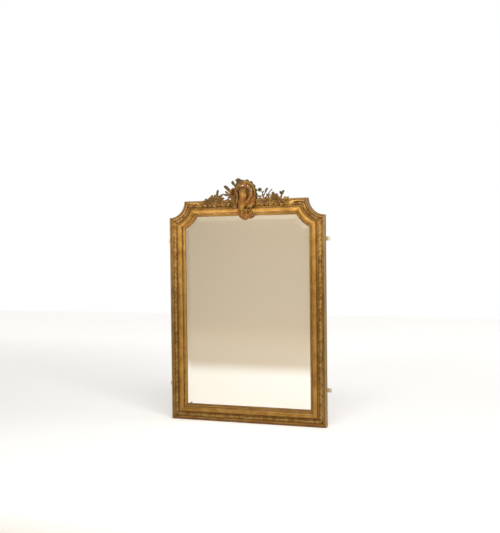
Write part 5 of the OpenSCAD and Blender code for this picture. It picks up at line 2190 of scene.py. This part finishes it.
@dataclass(frozen=True)
class Studio:
    """Pale floor that sweeps up to a cream backdrop behind the camera, a white surround, and soft lamps."""

    pale: str = "#F4F3F0"
    cream: str = "#DED3C0"
    far: float = 7.0
    front: float = -6.4
    bend: float = 1.4
    top: float = 5.2
    half_wide: float = 9.0

    def sweep(self) -> bpy.types.Object:
        """Makes the floor and the backdrop that the glass looks at.

        Returns:
            The stage object.
        """
        flat = [(y, 0.0) for y in np.linspace(self.far, self.front + self.bend, 40)]
        turn = arc(self.front + self.bend, self.bend, self.bend, 270, 180, 13)[1:]
        line = flat + turn + [(self.front, z) for z in np.linspace(self.bend, self.top, 8)[1:]]
        points = [(x, y, z) for y, z in line for x in (self.half_wide, -self.half_wide)]
        faces = [(2 * i, 2 * i + 1, 2 * i + 3, 2 * i + 2) for i in range(len(line) - 1)]
        mesh = bpy.data.meshes.new("sweep")
        mesh.from_pydata(points, [], faces)
        mesh.polygons.foreach_set("use_smooth", [True] * len(faces))
        # Matt studio paper: even and white, and cream where only the glass sees it.
        material, node, shader, mm = new_finish("sweep_paper")
        off = node("SeparateXYZ", (mm,), "Y")
        away = node("MapRange", (off, -1600.0, -2300.0), interpolation_type="SMOOTHSTEP")
        colour = node("Mix", {0: away, 6: self.pale, 7: self.cream}, 2, data_type="RGBA")
        # The paper far behind the frame gets no lamp, so it glows enough to stay as white as the rest.
        near = node("MapRange", (off, -2200.0, -1500.0, 0.0, 0.24))
        deep = node("MapRange", (off, -200.0, 3500.0, 0.0, 0.30))
        glow = node("Math", (near, deep), operation="ADD")
        paper = {"Base Color": colour, "Roughness": 0.9, "Emission Strength": glow}
        plug(material.node_tree, shader, {**paper, "Emission Color": "#FFFDFA"})
        mesh.materials.append(material)
        return placed("sweep", mesh)

    def surround(self) -> None:
        """Makes the world: white where it is seen or mirrored, softer where it only lights."""
        world = bpy.data.worlds.new("surround")
        world.use_nodes = True
        tree = world.node_tree
        rays = add(tree, "ShaderNodeLightPath").outputs
        seen = rays["Is Camera Ray"]
        for kind in ("Is Glossy Ray", "Is Transmission Ray"):
            seen = add(tree, "ShaderNodeMath", (seen, rays[kind]), operation="MAXIMUM")
        level = add(tree, "ShaderNodeMapRange", {0: seen, 3: 0.40, 4: 1.0})
        plug(tree, tree.nodes["Background"], {"Strength": level, "Color": (1, 1, 1, 1)})
        bpy.context.scene.world = world

    def build(self) -> None:
        """Makes the stage, the lamps and the white surround."""
        self.sweep()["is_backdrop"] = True
        self.surround()
        lamps = (
            Lamp("paper", (-0.8, -3.6, 4.4), (-1.6, -6.4, 1.6), 3.5, 0.8, 95.0, "#FFFDF8"),
            Lamp("key", (3.0, -2.4, 2.2), (0.0, 0.0, 1.0), 0.8, 1.4, 55.0),
            Lamp("over", (0.6, -2.0, 3.9), (0.0, 0.0, 1.1), 2.2, 0.9, 60.0),
            Lamp("rise", (-0.55, -1.6, 0.10), (-0.1, 0.0, 1.42), 1.4, 0.12, 2.0, spread=34.0),
            Lamp("high", (-1.3, -4.2, 2.7), (0.0, 0.0, 1.5), 1.6, 0.5, 1.8, spread=20.0),
        )
        for lamp in lamps:
            lamp.build()
        bpy.context.scene.view_settings.view_transform = "Standard"


# ---- the whole mirror ----


class Overmantel:
    """The dressed mirror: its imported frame, and the gilt work in place of its mouldings and crest."""

    def __init__(self) -> None:
        """Loads the frame and makes the finishes."""
        self.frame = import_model()
        self.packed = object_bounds()
        self.palette = Palette()

    def dress(self) -> None:
        """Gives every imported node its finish."""
        slots = {part["node"]: part["material_slot"] for part in self.frame["record"]["subparts"]}
        for name, obj in self.frame["nodes"].items():
            low, high = (Vector(c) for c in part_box(name))
            material = self.palette.finish(slots[name], high - low)
            for slot in obj.material_slots:
                slot.material = material

    def build(self) -> None:
        """Makes every piece."""
        coats = self.palette.by_slot
        self.dress()
        Mouldings().build(coats["gilt_moulding"])
        LeafStrips().build(coats["gilt_leaf_strip"])
        SightBeads().build(coats["gilt_bead"])
        Crest().build(coats)

    def write_sizes(self) -> None:
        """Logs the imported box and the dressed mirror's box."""
        rows = {"packed": [list(c) for c in self.packed], "shown": [list(c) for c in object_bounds()]}
        log.info("sizes: %s", rows)


def main() -> None:
    """Builds the scene."""
    logging.basicConfig(level=logging.INFO, format="%(message)s")
    PhotoCamera().build()
    mirror = Overmantel()
    mirror.build()
    Studio().build()
    mirror.write_sizes()


if __name__ == "__main__":
    main()
